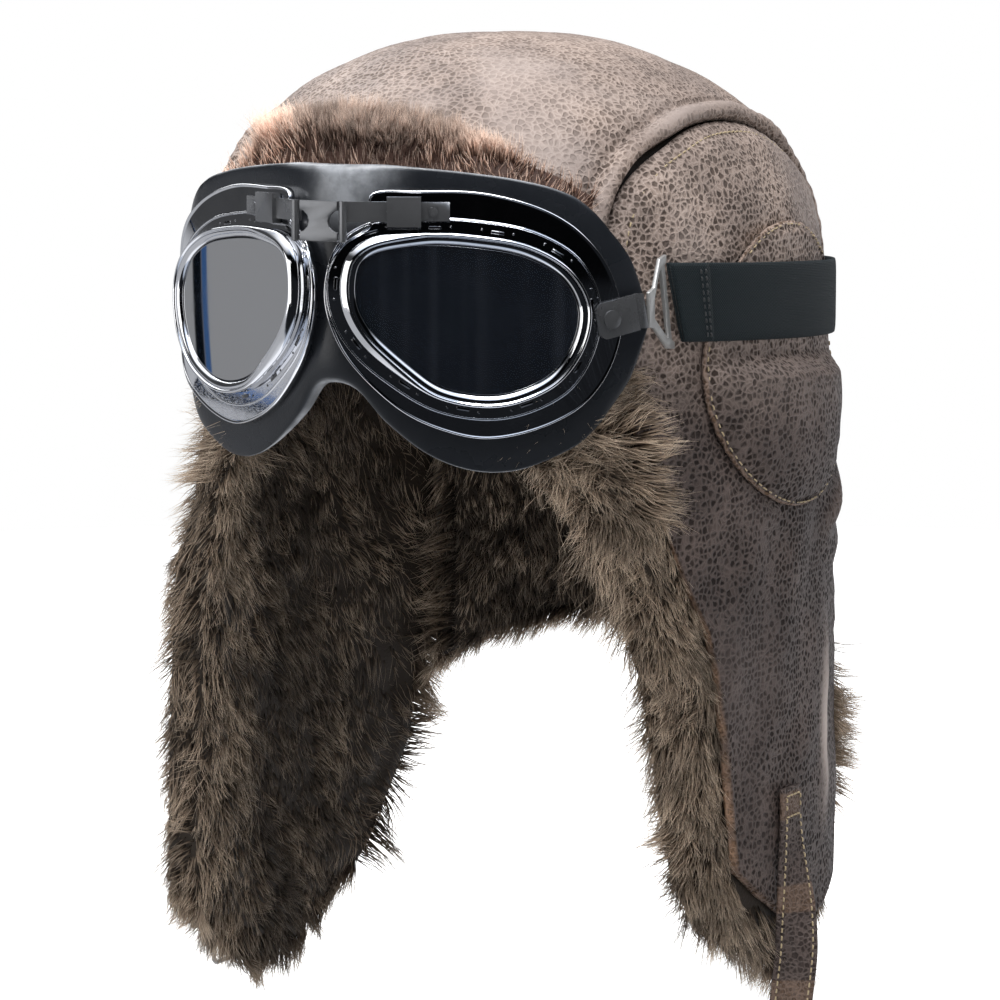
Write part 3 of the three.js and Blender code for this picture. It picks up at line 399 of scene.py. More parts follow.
def new_material(name, **values):
    """A Principled material whose constant values are set on the shader's own sockets."""
    material = bpy.data.materials.new(name)
    material.use_nodes = True
    tree = material.node_tree
    shader = tree.nodes["Principled BSDF"]
    for key, value in values.items():
        shader.inputs[key.replace("_", " ")].default_value = value
    return material, tree, shader


def bump(tree, shader, height, distance, strength=1.0):
    inputs = {"Height": height, "Distance": distance, "Strength": strength}
    tree.links.new(node(tree, "ShaderNodeBump", inputs).outputs["Normal"], shader.inputs["Normal"])


# %% [markdown]
# The leather's character is its grain: small dark pits about two millimetres apart, with a pale, rubbed
# net of ridges between them. A cell pattern gives both. Where the two nearest cell centres are equally far
# there is a ridge, and where one is much nearer there is a pit. Noise bends it so that no cell is regular.

# %% Shared grain
RIDGE_WIDTH, PIT_START = 0.16, 0.46


def make_grain_group():
    inputs = [("Place", None), ("Cell", 0.0022), ("Bend", 0.0009)]
    tree, given, result = new_group("pitted_grain", inputs, ["Pit", "Net", "Mottle", "Fine"])
    spot = given["Place"]
    soft = node(tree, "ShaderNodeTexNoise", {"Vector": spot, "Scale": 420.0, "Detail": 2.0}).outputs["Color"]
    shift = vector_math(tree, "SUBTRACT", soft, (0.5, 0.5, 0.5))
    bent = vector_math(tree, "ADD", spot, scaled(tree, shift, given["Bend"]))
    cell = {"Vector": bent, "Scale": math(tree, "DIVIDE", 1.0, given["Cell"]), "Randomness": 0.85}
    near, next_near = [node(tree, "ShaderNodeTexVoronoi", cell, feature=feature).outputs["Distance"]
                       for feature in ("F1", "F2")]
    past_ridge = math(tree, "SUBTRACT", next_near, near)
    depth = span(tree, noise(tree, spot, 330.0), 0.3, 0.62, 0.6, 1.0)
    bowl = span(tree, past_ridge, RIDGE_WIDTH, PIT_START)
    tree.links.new(math(tree, "MULTIPLY", bowl, depth), result["Pit"])
    tree.links.new(span(tree, past_ridge, 0.0, RIDGE_WIDTH, 1.0, 0.0), result["Net"])
    tree.links.new(noise(tree, spot, 38.0, 4.0), result["Mottle"])
    tree.links.new(noise(tree, spot, 1800.0, 2.0), result["Fine"])
    return tree


GRAIN = make_grain_group()


# %% Leather
RIDGE, BROWN, HOLLOW = (0.39, 0.322, 0.29), (0.28, 0.224, 0.196), (0.036, 0.024, 0.019)
LEATHER_CELL, STRAP_CELL = 0.0022, 0.0017


def make_leather(name, cell):
    """Brown with a pale net and dark pits: smooth where stretched, tan where worn, with a pale painted
    highlight where a stored value says and painted shade down the flaps.
    """
    material, tree, shader = new_material(name, Specular_IOR_Level=0.28)
    grain = use_group(tree, GRAIN, {"Place": place(tree), "Cell": cell, "Bend": cell * 0.4})
    worn, stretched = attribute(tree, "wear"), attribute(tree, "stretch")
    high = place_along(tree, "Z")
    smoothed, crown = span(tree, stretched, 0.0, 1.0, 1.0, 0.12), span(tree, high, -0.05, 0.0, 0.9, 0.5)
    kept = math(tree, "MULTIPLY", smoothed, crown)
    pit = math(tree, "MULTIPLY", grain["Pit"], kept)
    net = blend_colour(tree, grain["Net"], BROWN, RIDGE)
    colour = blend_colour(tree, pit, net, HOLLOW)
    shade = blend_colour(tree, span(tree, grain["Mottle"], 0.3, 0.7), (0.72, 0.70, 0.69), (1.18, 1.15, 1.12))
    colour = blend_colour(tree, 1.0, colour, shade, "MULTIPLY")
    colour = blend_colour(tree, math(tree, "MULTIPLY", stretched, 0.75), colour, (0.385, 0.33, 0.31))
    # Down the flaps the leather is darker and cooler: painted shade.
    painted_shade_low = blend_colour(tree, span(tree, high, -0.125, -0.065), (0.27, 0.255, 0.26), (1.0, 1.0, 1.0))
    colour = blend_colour(tree, 1.0, colour, painted_shade_low, "MULTIPLY")
    # Where a stored value says, a pale painted highlight covers the leather.
    colour = blend_colour(tree, attribute(tree, "painted_sheen"), colour, (0.57, 0.49, 0.45))
    rub = math(tree, "MULTIPLY", worn, span(tree, grain["Fine"], 0.3, 0.55, 0.45, 1.0), clamp=True)
    colour = blend_colour(tree, rub, colour, (0.35, 0.215, 0.135))
    tree.links.new(colour, shader.inputs["Base Color"])
    tree.links.new(span(tree, pit, 0.0, 1.0, 0.52, 1.0), shader.inputs["Roughness"])
    low = math(tree, "MULTIPLY", pit, -1.0)
    raised = math(tree, "MULTIPLY", math(tree, "MULTIPLY", grain["Net"], kept), 0.15)
    height = math(tree, "ADD", math(tree, "ADD", low, raised), math(tree, "MULTIPLY", grain["Fine"], 0.1))
    bump(tree, shader, height, 0.0007, 1.0)
    return material


leather = make_leather("cracked_leather", LEATHER_CELL)
strap_leather = make_leather("strap_leather", STRAP_CELL)


# %% [markdown]
# A strand of fur is dark at its root and pale at its tip, and no two locks are quite the same tone. Both
# values are stored on the points. On the brow and the right flap the tone also carries painted light and
# shade, so one group mixes the three colours for the deep brown lining and the red-brown brow.

# %% Fur
def make_fur(name, root, middle, tip, backing, right_side=1.0):
    """Root, middle and tip colours along a strand. On the wearer's right it is lighter by the last value:
    painted light.
    """
    material, tree, shader = new_material(name, Roughness=0.62, Specular_IOR_Level=0.32)
    along, tone = attribute(tree, "along"), attribute(tree, "tone")
    low = blend_colour(tree, span(tree, along, 0.0, 0.5), root, middle)
    colour = blend_colour(tree, span(tree, along, 0.5, 1.0, 0.0, 0.85), low, tip)
    patch = noise(tree, place(tree), 55.0, 3.0)
    lock, cloud = span(tree, tone, 0.0, 1.0, 0.4, 1.5), span(tree, patch, 0.3, 0.7, 0.75, 1.25)
    sided = span(tree, place_along(tree, "X"), -0.045, -0.01, right_side, 1.0)
    light = math(tree, "MULTIPLY", math(tree, "MULTIPLY", lock, cloud), sided)
    pile = noise(tree, place(tree), 900.0, 3.0)
    under = blend_colour(tree, pile, backing, root)
    final = blend_colour(tree, span(tree, along, 0.0, 0.04), under, scaled(tree, colour, light))
    tree.links.new(final, shader.inputs["Base Color"])
    bump(tree, shader, pile, 0.0006, 0.7)
    return material


fur = make_fur("brown_fur", (0.036, 0.026, 0.018), (0.2, 0.15, 0.108), (0.72, 0.59, 0.46),
               backing=(0.028, 0.02, 0.014))
# The red-brown fur is painted lighter on the wearer's right: painted light.
brow_fur = make_fur("red_brown_fur", (0.075, 0.036, 0.025), (0.3, 0.195, 0.148), (0.62, 0.49, 0.41),
                    backing=(0.05, 0.026, 0.018), right_side=1.5)


# %% [markdown]
# The goggles mix a soft black mask, polished plate, duller nickel for the small fittings, dark glass and
# woven elastic. Handling leaves faint smears and fine scratches on every metal, which one shared group
# gives.

# %% Handling marks
def make_handling_group():
    inputs = [("Place", None), ("Amount", 1.0)]
    tree, given, result = new_group("handling_marks", inputs, ["Smear", "Scratch"])
    smear = span(tree, noise(tree, given["Place"], 60.0, 5.0, 0.6), 0.42, 0.75)
    tree.links.new(math(tree, "MULTIPLY", smear, given["Amount"]), result["Smear"])
    drawn_out = {"Vector": given["Place"], "Scale": (1.0, 1.0, 14.0)}
    fine = noise(tree, node(tree, "ShaderNodeMapping", drawn_out).outputs[0], 700.0, 2.0)
    scratch = span(tree, fine, 0.5, 0.9)
    tree.links.new(math(tree, "MULTIPLY", scratch, given["Amount"]), result["Scratch"])
    return tree


HANDLING = make_handling_group()


def make_metal(name, colour, clean, marked, amount, depth, metal=1.0):
    """Roughness runs from clean to marked where it was handled, and a stored value says what is tarnished."""
    material, tree, shader = new_material(name, Metallic=metal)
    marks = use_group(tree, HANDLING, {"Place": place(tree), "Amount": amount})
    smeared, tarnished = [tuple(share * v for v in colour) for share in (0.8, 0.16)]
    plain = blend_colour(tree, marks["Smear"], colour, smeared)
    final = blend_colour(tree, attribute(tree, "tarnish"), plain, tarnished)
    tree.links.new(final, shader.inputs["Base Color"])
    tree.links.new(span(tree, marks["Smear"], 0.0, 1.0, clean, marked), shader.inputs["Roughness"])
    bump(tree, shader, marks["Scratch"], depth, 0.25)
    return material


chrome = make_metal("polished_chrome", (0.72, 0.73, 0.755), 0.03, 0.09, 0.6, 0.00002)
nickel = make_metal("dark_nickel", (0.13, 0.134, 0.142), 0.2, 0.34, 1.0, 0.00004, 0.6)
zinc = make_metal("dull_zinc", (0.44, 0.44, 0.435), 0.36, 0.5, 1.0, 0.00004, 0.6)


def make_mask_finish():
    """Smooth black coated leather: a fine soft grain, a painted blue-grey sheen where a stored value says,
    and duller patches.
    """
    material, tree, shader = new_material("black_padding", Specular_IOR_Level=0.3, IOR=1.5)
    grain = use_group(tree, GRAIN, {"Place": place(tree), "Cell": 0.0011, "Bend": 0.0005})
    black = blend_colour(tree, grain["Mottle"], (0.009, 0.0105, 0.013), (0.017, 0.0195, 0.0245))
    patchy = span(tree, noise(tree, place(tree), 70.0, 4.0), 0.3, 0.65, 0.25, 1.0)
    # A pale blue-grey painted sheen, broken into patches, where the stored value says.
    painted_sheen_share = math(tree, "MULTIPLY", attribute(tree, "painted_sheen"), patchy)
    tree.links.new(blend_colour(tree, painted_sheen_share, black, (0.36, 0.38, 0.41)), shader.inputs["Base Color"])
    tree.links.new(span(tree, grain["Mottle"], 0.3, 0.7, 0.22, 0.36), shader.inputs["Roughness"])
    bump(tree, shader, math(tree, "SUBTRACT", grain["Fine"], grain["Pit"]), 0.00004, 0.35)
    return material


def make_glass():
    """Dark mirrored glass: almost no light comes through, and its surface reflects strongly."""
    material, tree, shader = new_material("dark_glass", IOR=4.4)
    marks = use_group(tree, HANDLING, {"Place": place(tree), "Amount": 0.5})
    colour = blend_colour(tree, marks["Smear"], (0.004, 0.006, 0.010), (0.010, 0.013, 0.018))
    tree.links.new(colour, shader.inputs["Base Color"])
    tree.links.new(span(tree, marks["Smear"], 0.0, 1.0, 0.02, 0.07), shader.inputs["Roughness"])
    return material


RIB_WIDTH, PICK_WIDTH = 1.1, 0.9


def make_elastic():
    """Woven band: ribs along its length and fine picks across, read from the flat pattern in millimetres."""
    material, tree, shader = new_material("woven_elastic", Roughness=0.85, Sheen_Weight=0.04,
                                          Specular_IOR_Level=0.25)
    flat = node(tree, "ShaderNodeUVMap", uv_map="flat").outputs[0]
    parts = node(tree, "ShaderNodeSeparateXYZ", {0: flat}).outputs
    rib = math(tree, "SINE", math(tree, "MULTIPLY", parts["Y"], 2 * np.pi / RIB_WIDTH))
    shift = math(tree, "MULTIPLY", math(tree, "SIGN", rib), np.pi / 2)
    along = math(tree, "MULTIPLY", parts["X"], 2 * np.pi / PICK_WIDTH)
    pick = math(tree, "SINE", math(tree, "ADD", along, shift))
    weave = math(tree, "ADD", math(tree, "ABSOLUTE", rib), math(tree, "MULTIPLY", pick, 0.5))
    raised = span(tree, weave, -0.4, 1.3)
    thread = blend_colour(tree, raised, (0.0023, 0.004, 0.0054), (0.0085, 0.0155, 0.019))
    colour = blend_colour(tree, noise(tree, place(tree), 90.0), thread, (0.006, 0.0125, 0.0155))
    tree.links.new(colour, shader.inputs["Base Color"])
    bump(tree, shader, weave, 0.00018, 0.6)
    return material


padding, glass, elastic = make_mask_finish(), make_glass(), make_elastic()


def make_thread(name, colour):
    material, tree, shader = new_material(name, Roughness=0.6, Sheen_Weight=0.2)
    light = tuple(min(1.0, 1.35 * v) for v in colour)
    twisted = blend_colour(tree, noise(tree, place(tree), 1500.0), colour, light)
    tree.links.new(twisted, shader.inputs["Base Color"])
    bump(tree, shader, noise(tree, place(tree), 4000.0, 1.0), 0.0001, 0.5)
    return material


pale_thread = make_thread("pale_thread", (0.33, 0.26, 0.155))
black_thread = make_thread("black_thread", (0.02, 0.022, 0.024))
print("materials:", sorted(m.name for m in bpy.data.materials))

# %% [markdown]
# The photograph has a white ground. Polished metal and dark glass show what surrounds them, so the world
# answers each kind of ray in its own way: plain white to the camera, an even light to rough surfaces, and
# to polished ones a studio with a dark side behind the camera, a bright wall to the wearer's right and a
# white ceiling.

# %% World
FRONT_TURN, BAR_TURN, BLUE_BAR_TURN = 0.67, 1.634, 1.619
WHITE, PLAIN_LIGHT = (1.0, 1.0, 1.0), (0.31, 0.315, 0.325)


def make_world():
    """Turn is the angle round the upright axis in radians, and way is the direction that a ray goes."""
    world = bpy.data.worlds.new("studio")
    world.use_nodes = True
    tree = world.node_tree
    direction = node(tree, "ShaderNodeTexCoord").outputs["Generated"]
    way = node(tree, "ShaderNodeSeparateXYZ", {0: direction}).outputs
    turn = math(tree, "ARCTAN2", way["X"], math(tree, "MULTIPLY", way["Y"], -1.0))
    away_from = lambda place: math(tree, "ABSOLUTE", math(tree, "ADD", turn, place))
    # Towards the camera it is dark, with faint upright streaks. Behind the hat the wall is brighter.
    front = span(tree, away_from(-FRONT_TURN), 1.2, 1.3, 1.0, 0.0)
    behind = span(tree, math(tree, "ABSOLUTE", turn), 2.0, 2.5)
    upright = {"W": turn, "Scale": 40.0, "Detail": 2.0}
    streaks = node(tree, "ShaderNodeTexNoise", upright, noise_dimensions="1D")
    dark = span(tree, streaks.outputs["Fac"], 0.45, 0.75, 0.011, 0.026)
    wall = math(tree, "ADD", 0.55, math(tree, "MULTIPLY", behind, 0.3))
    # A window bar, black with a blue edge, crosses the wall.
    bar = span(tree, away_from(BAR_TURN), 0.007, 0.011)
    blue_bar = span(tree, away_from(BLUE_BAR_TURN), 0.004, 0.007)
    wall = math(tree, "MULTIPLY", math(tree, "MULTIPLY", wall, bar), math(tree, "SUBTRACT", 1.0, front))
    around = math(tree, "ADD", math(tree, "MULTIPLY", front, dark), wall)
    # The wall is bright up to eye level, and both the ceiling and the floor are bright.
    above = span(tree, way["Z"], 0.5, 0.75, 0.0, 1.7)
    below = span(tree, way["Z"], -0.85, -0.7, 0.7, 0.0)
    level = span(tree, way["Z"], 0.0, 0.1, 1.0, 0.12)
    studio = math(tree, "ADD", math(tree, "MULTIPLY", around, level), math(tree, "MAXIMUM", above, below))
    tint = blend_colour(tree, front, (0.97, 0.985, 1.03), (0.86, 0.95, 1.12))
    tint = blend_colour(tree, blue_bar, (0.12, 0.3, 0.75), tint)
    rays = node(tree, "ShaderNodeLightPath").outputs
    seen = blend_colour(tree, rays["Is Glossy Ray"], PLAIN_LIGHT, scaled(tree, tint, studio))
    seen = blend_colour(tree, rays["Is Camera Ray"], seen, WHITE)
    tree.links.new(seen, tree.nodes["Background"].inputs["Color"])
    bpy.context.scene.world = world


make_world()


# %% [markdown]
# Four square lamps light the hat: a strong soft one from above and in front, and weaker ones from the right,
# from the left, and from behind, where it draws a thin rim of light.

# %% Lamps
HAT_MIDDLE = np.array([0.0, 0.0, -0.15])


def add_lamp(name, energy, size, position, tint, mirrored=True):
    """A square lamp at a place in metres that faces the hat. Mirrored lamps show in polished metal."""
    data = bpy.data.lights.new(name, "AREA")
    data.energy, data.size, data.color = energy, size, tint
    lamp = bpy.data.objects.new(name, data)
    bpy.context.scene.collection.objects.link(lamp)
    lamp.location = position
    aim = unit(np.array(position) - HAT_MIDDLE)
    side = unit(np.cross([0.0, 0.0, 1.0], aim))
    lamp.rotation_mode = "QUATERNION"
    lamp.rotation_quaternion = Matrix(np.stack([side, np.cross(aim, side), aim], 1).tolist()).to_quaternion()
    lamp.visible_glossy = mirrored


add_lamp("key", 25.0, 0.8, (0.12, -0.5, 1.2), (1.0, 0.985, 0.97))
add_lamp("fill", 5.0, 0.9, (-0.75, -1.1, -0.05), (1.0, 0.99, 0.98))
add_lamp("side", 1.5, 0.8, (1.1, -0.45, 0.25), (1.0, 0.99, 0.98), mirrored=False)
add_lamp("rim", 5.0, 0.7, (-0.9, 0.6, 0.7), (0.97, 0.985, 1.0))
bpy.context.scene.view_settings.view_transform = "Standard"
print("lamps:", [lamp.name for lamp in bpy.data.lights])


# %% [markdown]
# The hat hangs in the air as a head would hold it, so the floor lies a little below the end of the chin
# strap. It is a plain pale disc. It is shown a little brighter than it is lit, to match the photograph's
# white ground.

# %% Floor
FLOOR_Z, FLOOR_RADIUS, FLOOR_THICK, FLOOR_SIDES = -362.0, 1500, 4, 64


def make_floor():
    flat = circle(FLOOR_RADIUS, FLOOR_SIDES)
    ring = np.concatenate([flat, np.full((FLOOR_SIDES, 1), FLOOR_Z)], 1)
    loops = np.stack([ring - [0, 0, FLOOR_THICK], ring])
    floor = add_mesh("floor", loops, tube_faces(2, FLOOR_SIDES, False), smooth=False)
    material, tree, shader = new_material("pale_floor", Roughness=0.9, Specular_IOR_Level=0.0)
    seen = node(tree, "ShaderNodeLightPath").outputs["Is Camera Ray"]
    tree.links.new(span(tree, seen, 0.0, 1.0, 0.08, 0.8), shader.inputs["Emission Strength"])
    shader.inputs["Base Color"].default_value = (0.85, 0.85, 0.85, 1.0)
    shader.inputs["Emission Color"].default_value = (1.0, 1.0, 1.0, 1.0)
    floor.data.materials.append(material)
    floor.visible_glossy = False
    floor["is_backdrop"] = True
    print("floor at", FLOOR_Z, "mm")


make_floor()

# %% [markdown]
# The centre panel is one long strip from the brow over the crown to the nape. Along both sides its edge is
# turned and stitched, which raises a rounded welt. The thread pulls the leather into small puckers beside
# it.
#
# height over the body = welt + puckers + a soft ripple, faded to nothing at the hidden edges

# %% Seam helpers
SEAM_DRAW = 4.5


def table(rows, key):
    """Reads rows of (key, value) in straight steps. The keys may rise or fall."""
    keys, values = np.array(rows, float).T
    order = np.argsort(keys)
    return np.interp(key, keys[order], values[order])


def seam_shift(y, z):
    """How far the seam comes in from its plane towards the brow, in mm."""
    return SEAM_DRAW * ease((-y - 35) / 45) * ease((z + 105) / 20)


def nape_edge(x):
    return NAPE_Z - NAPE_DIP * np.abs(x / STRIP_HALF) ** 3


def arc_length(points):
    """The length run along each column of a grid of points, from its first row."""
    step = np.linalg.norm(np.diff(points, axis=0), axis=-1)
    return np.concatenate([np.zeros((1,) + step.shape[1:]), np.cumsum(step, axis=0)])


print("seam drawn in by", SEAM_DRAW, "mm at the brow")

# %% Centre panel
BROW_ROWS, ARC_ROWS, NAPE_ROWS = 6, 122, 40
WELT_X, WELT_HALF, WELT_RISE = 73.4, 2.7, 2.9
VALLEY_X, PUCKER_LENGTH = 70.2, 6.3


def strip_sheet(columns):
    """Rows of places up the brow, over the crown and down the nape, as a function of the depths there."""
    x = columns[None, :]
    low = np.linspace(BROW_Z, RIM_Z, BROW_ROWS, endpoint=False)[:, None]
    turn = np.linspace(0, np.pi, ARC_ROWS)[:, None]
    down = np.linspace(0, 1, NAPE_ROWS + 1)[1:, None]
    straight = np.concatenate([wall_point(x, -1, low, 0.0), strip_point(x, turn, 0.0)])
    drawn_in = x * (1 - seam_shift(straight[:, :1, 1], straight[:, :1, 2]) / STRIP_HALF)

    def at(depths):
        brow, arc, nape = np.split(depths, [BROW_ROWS, BROW_ROWS + ARC_ROWS])
        return np.concatenate([wall_point(drawn_in[:BROW_ROWS], -1, low, brow),
                               strip_point(drawn_in[BROW_ROWS:], turn, arc),
                               wall_point(x, 1, mix(RIM_Z, nape_edge(x), down), nape)])
    return at


def make_centre_panel():
    seam = np.linspace(67, STRIP_HALF - GAP, 11)
    columns = np.concatenate([-seam[::-1], np.linspace(-1, 1, 37) * 66, seam])
    at = strip_sheet(columns)
    flat = at(np.zeros((BROW_ROWS + ARC_ROWS + NAPE_ROWS, len(columns))))
    run = arc_length(flat)[:, [0, -1]]
    run = np.where(columns[None, :] < 0, run[:, :1], run[:, 1:])
    across = np.abs(columns)[None, :]
    welt = WELT_RISE * np.sqrt(np.clip(1 - ((across - WELT_X) / WELT_HALF) ** 2, 0, 1))
    valley = -0.9 * np.exp(-((across - VALLEY_X) / 1.3) ** 2)
    puckers = 0.28 * np.sin(run * 2 * np.pi / PUCKER_LENGTH + 2 * np.sin(run / 23)) * ease((across - 58) / 10)
    broad, fine = 0.55 * ripple(flat, 46, 4), 0.16 * ripple(flat, 15, 9)
    depth = welt + valley + puckers * (1 - 0.4 * (across > 70)) + broad + fine
    from_nape = run[-1:] - run
    hem = ease(np.minimum(run, from_nape) / 4)
    outer = at((depth + 0.3) * hem)
    inner = at(np.full(depth.shape, -LEATHER))
    # A smooth stretched spot lies over the wearer's left temple, and the welt is smooth too.
    spot = 1.25 - np.hypot((flat[..., 0] - 40) / 32, (flat[..., 1] + 72) / 34) + 0.3 * ripple(flat, 30, 12)
    on_welt = ease(1 - np.abs(across - WELT_X) / 2.4)
    values = {
        "wear": 0.08 * ease((across - 71) / 2) + 0.7 * ease(1 - from_nape / 2.5),
        "stretch": np.clip(0.6 * ease(spot) + 0.7 * on_welt + 0.25 * ripple(flat, 60, 7), 0, 1),
    }
    name = "crown_centre_panel"
    return dress(wall(name, outer, inner, values), leather, replaces=[name])


make_centre_panel()


# %% [markdown]
# A side panel starts under the welt, covers the ear and runs on into the flap. Its front and back edges
# follow tables of y against z and its hem is a table of z. Folds where the leather bends at the ear stand
# out as ridges:
#
# height = fold height * smooth step along the fold * smooth step across it
#
# The free edges are turned in and rubbed to a bare tan.

# %% Side panels and flaps
SEAM_X = STRIP_HALF + GAP
SEAM_Y = HALF_DEPTH * rest(SEAM_X / HALF_WIDTH)
FRONT_SEAM_Y = HALF_DEPTH * rest((SEAM_X - SEAM_DRAW) / HALF_WIDTH)
FRONT_EDGE = [[-84, -FRONT_SEAM_Y], [-100, -75.5], [-112, -73], [-131, -69.5], [-148, -63], [-164, -57],
              [-180, -49], [-195, -45], [-234, -40], [-262, -36], [-274, -29], [-290, -16]]
BACK_EDGE = [[-198, SEAM_Y], [-212, 74], [-235, 67], [-258, 62], [-274, 55], [-290, 40]]
HEM = [[0, -262], [0.08, -272], [0.2, -281], [0.35, -287], [0.55, -289.5], [0.75, -287], [0.9, -280],
       [1, -266]]
# Each fold: y and z of its middle, slope in degrees, half its length, half its width and its height.
FOLDS = {
    "left": [(46, -148, 20, 30, 8, 3.2), (54, -163, 15, 22, 8, 1.6), (31, -222, 88, 50, 6, 1.1)],
    "right": [(40, -158, 15, 30, 9, 2), (-18, -215, 78, 44, 11, 1.8)],
}


def fold_lift(folds, y, z):
    lift = np.zeros(np.broadcast(y, z).shape)
    for fold_y, fold_z, slope, long, wide, high in folds:
        c, s = np.cos(np.radians(slope)), np.sin(np.radians(slope))
        along = ((y - fold_y) * c + (z - fold_z) * s) / long
        across = ((z - fold_z) * c - (y - fold_y) * s) / wide
        lift = lift + high * ease(1 - np.abs(along)) * ease(1 - np.abs(across))
    return lift


def panel_places(share, down):
    """The y and z on the body for shares of the way across and down a side panel."""
    seam_y = mix(-FRONT_SEAM_Y, SEAM_Y, share)
    seam_x = SEAM_X - SEAM_DRAW * ease((-seam_y - 35) / 45)
    top = RIM_Z + CROWN_RISE * rest(seam_x / HALF_WIDTH, seam_y / HALF_DEPTH)
    z = mix(top, table(HEM, share), down)
    return mix(table(FRONT_EDGE, z), table(BACK_EDGE, z), share), z


def edge_steps(count, power=1.6):
    """Shares from 0 to 1 that crowd together at both ends."""
    t = np.linspace(-1, 1, count)
    return 0.5 + 0.5 * np.sign(t) * (1 - (1 - np.abs(t)) ** power)


def make_side_panel(side):
    share, down = np.meshgrid(edge_steps(80), edge_steps(136, 1.3), indexing="ij")
    y, z = panel_places(share, down)
    flat = side_point(side, y, z, 0.0)
    left_run, top_run = arc_length(flat), arc_length(flat.swapaxes(0, 1)).swapaxes(0, 1)
    from_front, from_back = left_run, left_run[-1:] - left_run
    from_seam, from_hem = top_run, top_run[:, -1:] - top_run
    # The seam runs down the upper part of the front and back edges as well as along the top.
    sewn_front, sewn_back = ease((z + 92) / 6), ease((z + 200) / 6)
    far = 40
    seam = np.minimum(from_front + far * (1 - sewn_front), from_back + far * (1 - sewn_back))
    seam = np.minimum(from_seam, seam)
    free = np.minimum(from_hem, np.minimum(from_front + far * sewn_front, from_back + far * sewn_back))
    groove = -1.1 * np.exp(-(seam / 2.2) ** 2)
    stitch = -0.45 * np.exp(-((seam - 4.4) / 0.9) ** 2)
    swell = 0.8 * np.exp(-((seam - 10) / 5.0) ** 2)
    puckers = 0.24 * np.sin((top_run + left_run) * 2 * np.pi / 7.4) * np.exp(-seam / 12)
    turned = -1.5 * (1 - ease(free / 2.4)) + 0.5 * np.exp(-((free - 3.2) / 1.6) ** 2)
    loose = ease((-z - 110) / 60)
    soft = 0.5 * ripple(flat, 40, 21) + 0.22 * ripple(flat, 17, 8)
    soft = soft + loose * 0.7 * ripple(flat * [1, 1, 0.35], 30, 17)
    folds = fold_lift(FOLDS[side], y, z)
    depth = folds + groove + stitch + swell + puckers + turned + soft * ease(free / 6) * ease(seam / 6) + 0.25
    outer = side_point(side, y, z, np.maximum(depth, -1.45))
    inner = side_point(side, y, z, folds - LEATHER)
    # The left flap has a pale band beside its upright fold: a painted highlight, also smoothed and lightened
    # through the stretch value. Both sides are worn above the strap.
    band = ease(1 - np.abs(y - 31) / 7) * ease(1 - np.abs(z + 222) / 45) * (side == "left")
    over_strap = np.abs(z + 54 - 0.12 * y + 3 * ripple(flat, 25, 2))
    crown_fold = ease(1 - np.abs(y + 5) / 26) * ease(1 - over_strap / 8)
    back_top = ease((y - 12) / 30) * ease((z + 75) / 30)
    hem_dark = 1 - 0.6 * ease((-z - 250) / 20)
    edge = ease(1 - (free - 1.0) / 2.4) * (0.6 + 0.35 * ripple(flat, 13, 6)) * hem_dark
    smooth = 0.4 * ease(folds / 1.3) + 0.3 * ease(ripple(flat, 50, 31)) + 0.5 * back_top + 0.8 * band
    values = {
        "wear": np.clip(edge + 0.5 * crown_fold + 0.12 * ease(folds / 3), 0, 1),
        "stretch": np.clip(smooth, 0, 1),
        "painted_sheen": 0.9 * band,
    }
    name = f"side_panel_{side}"
    return dress(wall(name, outer, inner, values), leather, replaces=[name])


for side in ("left", "right"):
    make_side_panel(side)


# %% [markdown]
# A padded oval is sewn over each ear. It swells towards its middle and lies flat where the elastic crosses
# it, and the seam round it gathers the leather into short radial creases.
#
# swell = bulge * (1 - r squared) to the power 0.7 * press, where r is the distance from the middle as a
# share

# %% Ear patches
PATCH_Y, PATCH_Z, PATCH_HALF, PATCH_TALL = 4.5, -97.0, 53.0, 47.0
PATCH_BULGE, PATCH_EDGE, PATCH_GAP = 8.0, 1.1, 1.0
STRAP_WIDTH, STRAP_THICK, STRAP_DEPTH, STRAP_START_Y, STRAP_LEAN = 25.5, 1.6, 3.0, -61.4, 3.2


def strap_z(y):
    return mix(-71.5, -82.0, np.clip((y + 70) / 190, 0, 1))


def patch_place(r, angle):
    return PATCH_Y + PATCH_HALF * r * np.cos(angle), PATCH_Z + PATCH_TALL * r * np.sin(angle)


def free_of_strap(y, z):
    """0 under the elastic, rising to 1 a little way from its edges."""
    return ease((np.abs(z - strap_z(y)) - STRAP_WIDTH / 2 - 4) / 9)


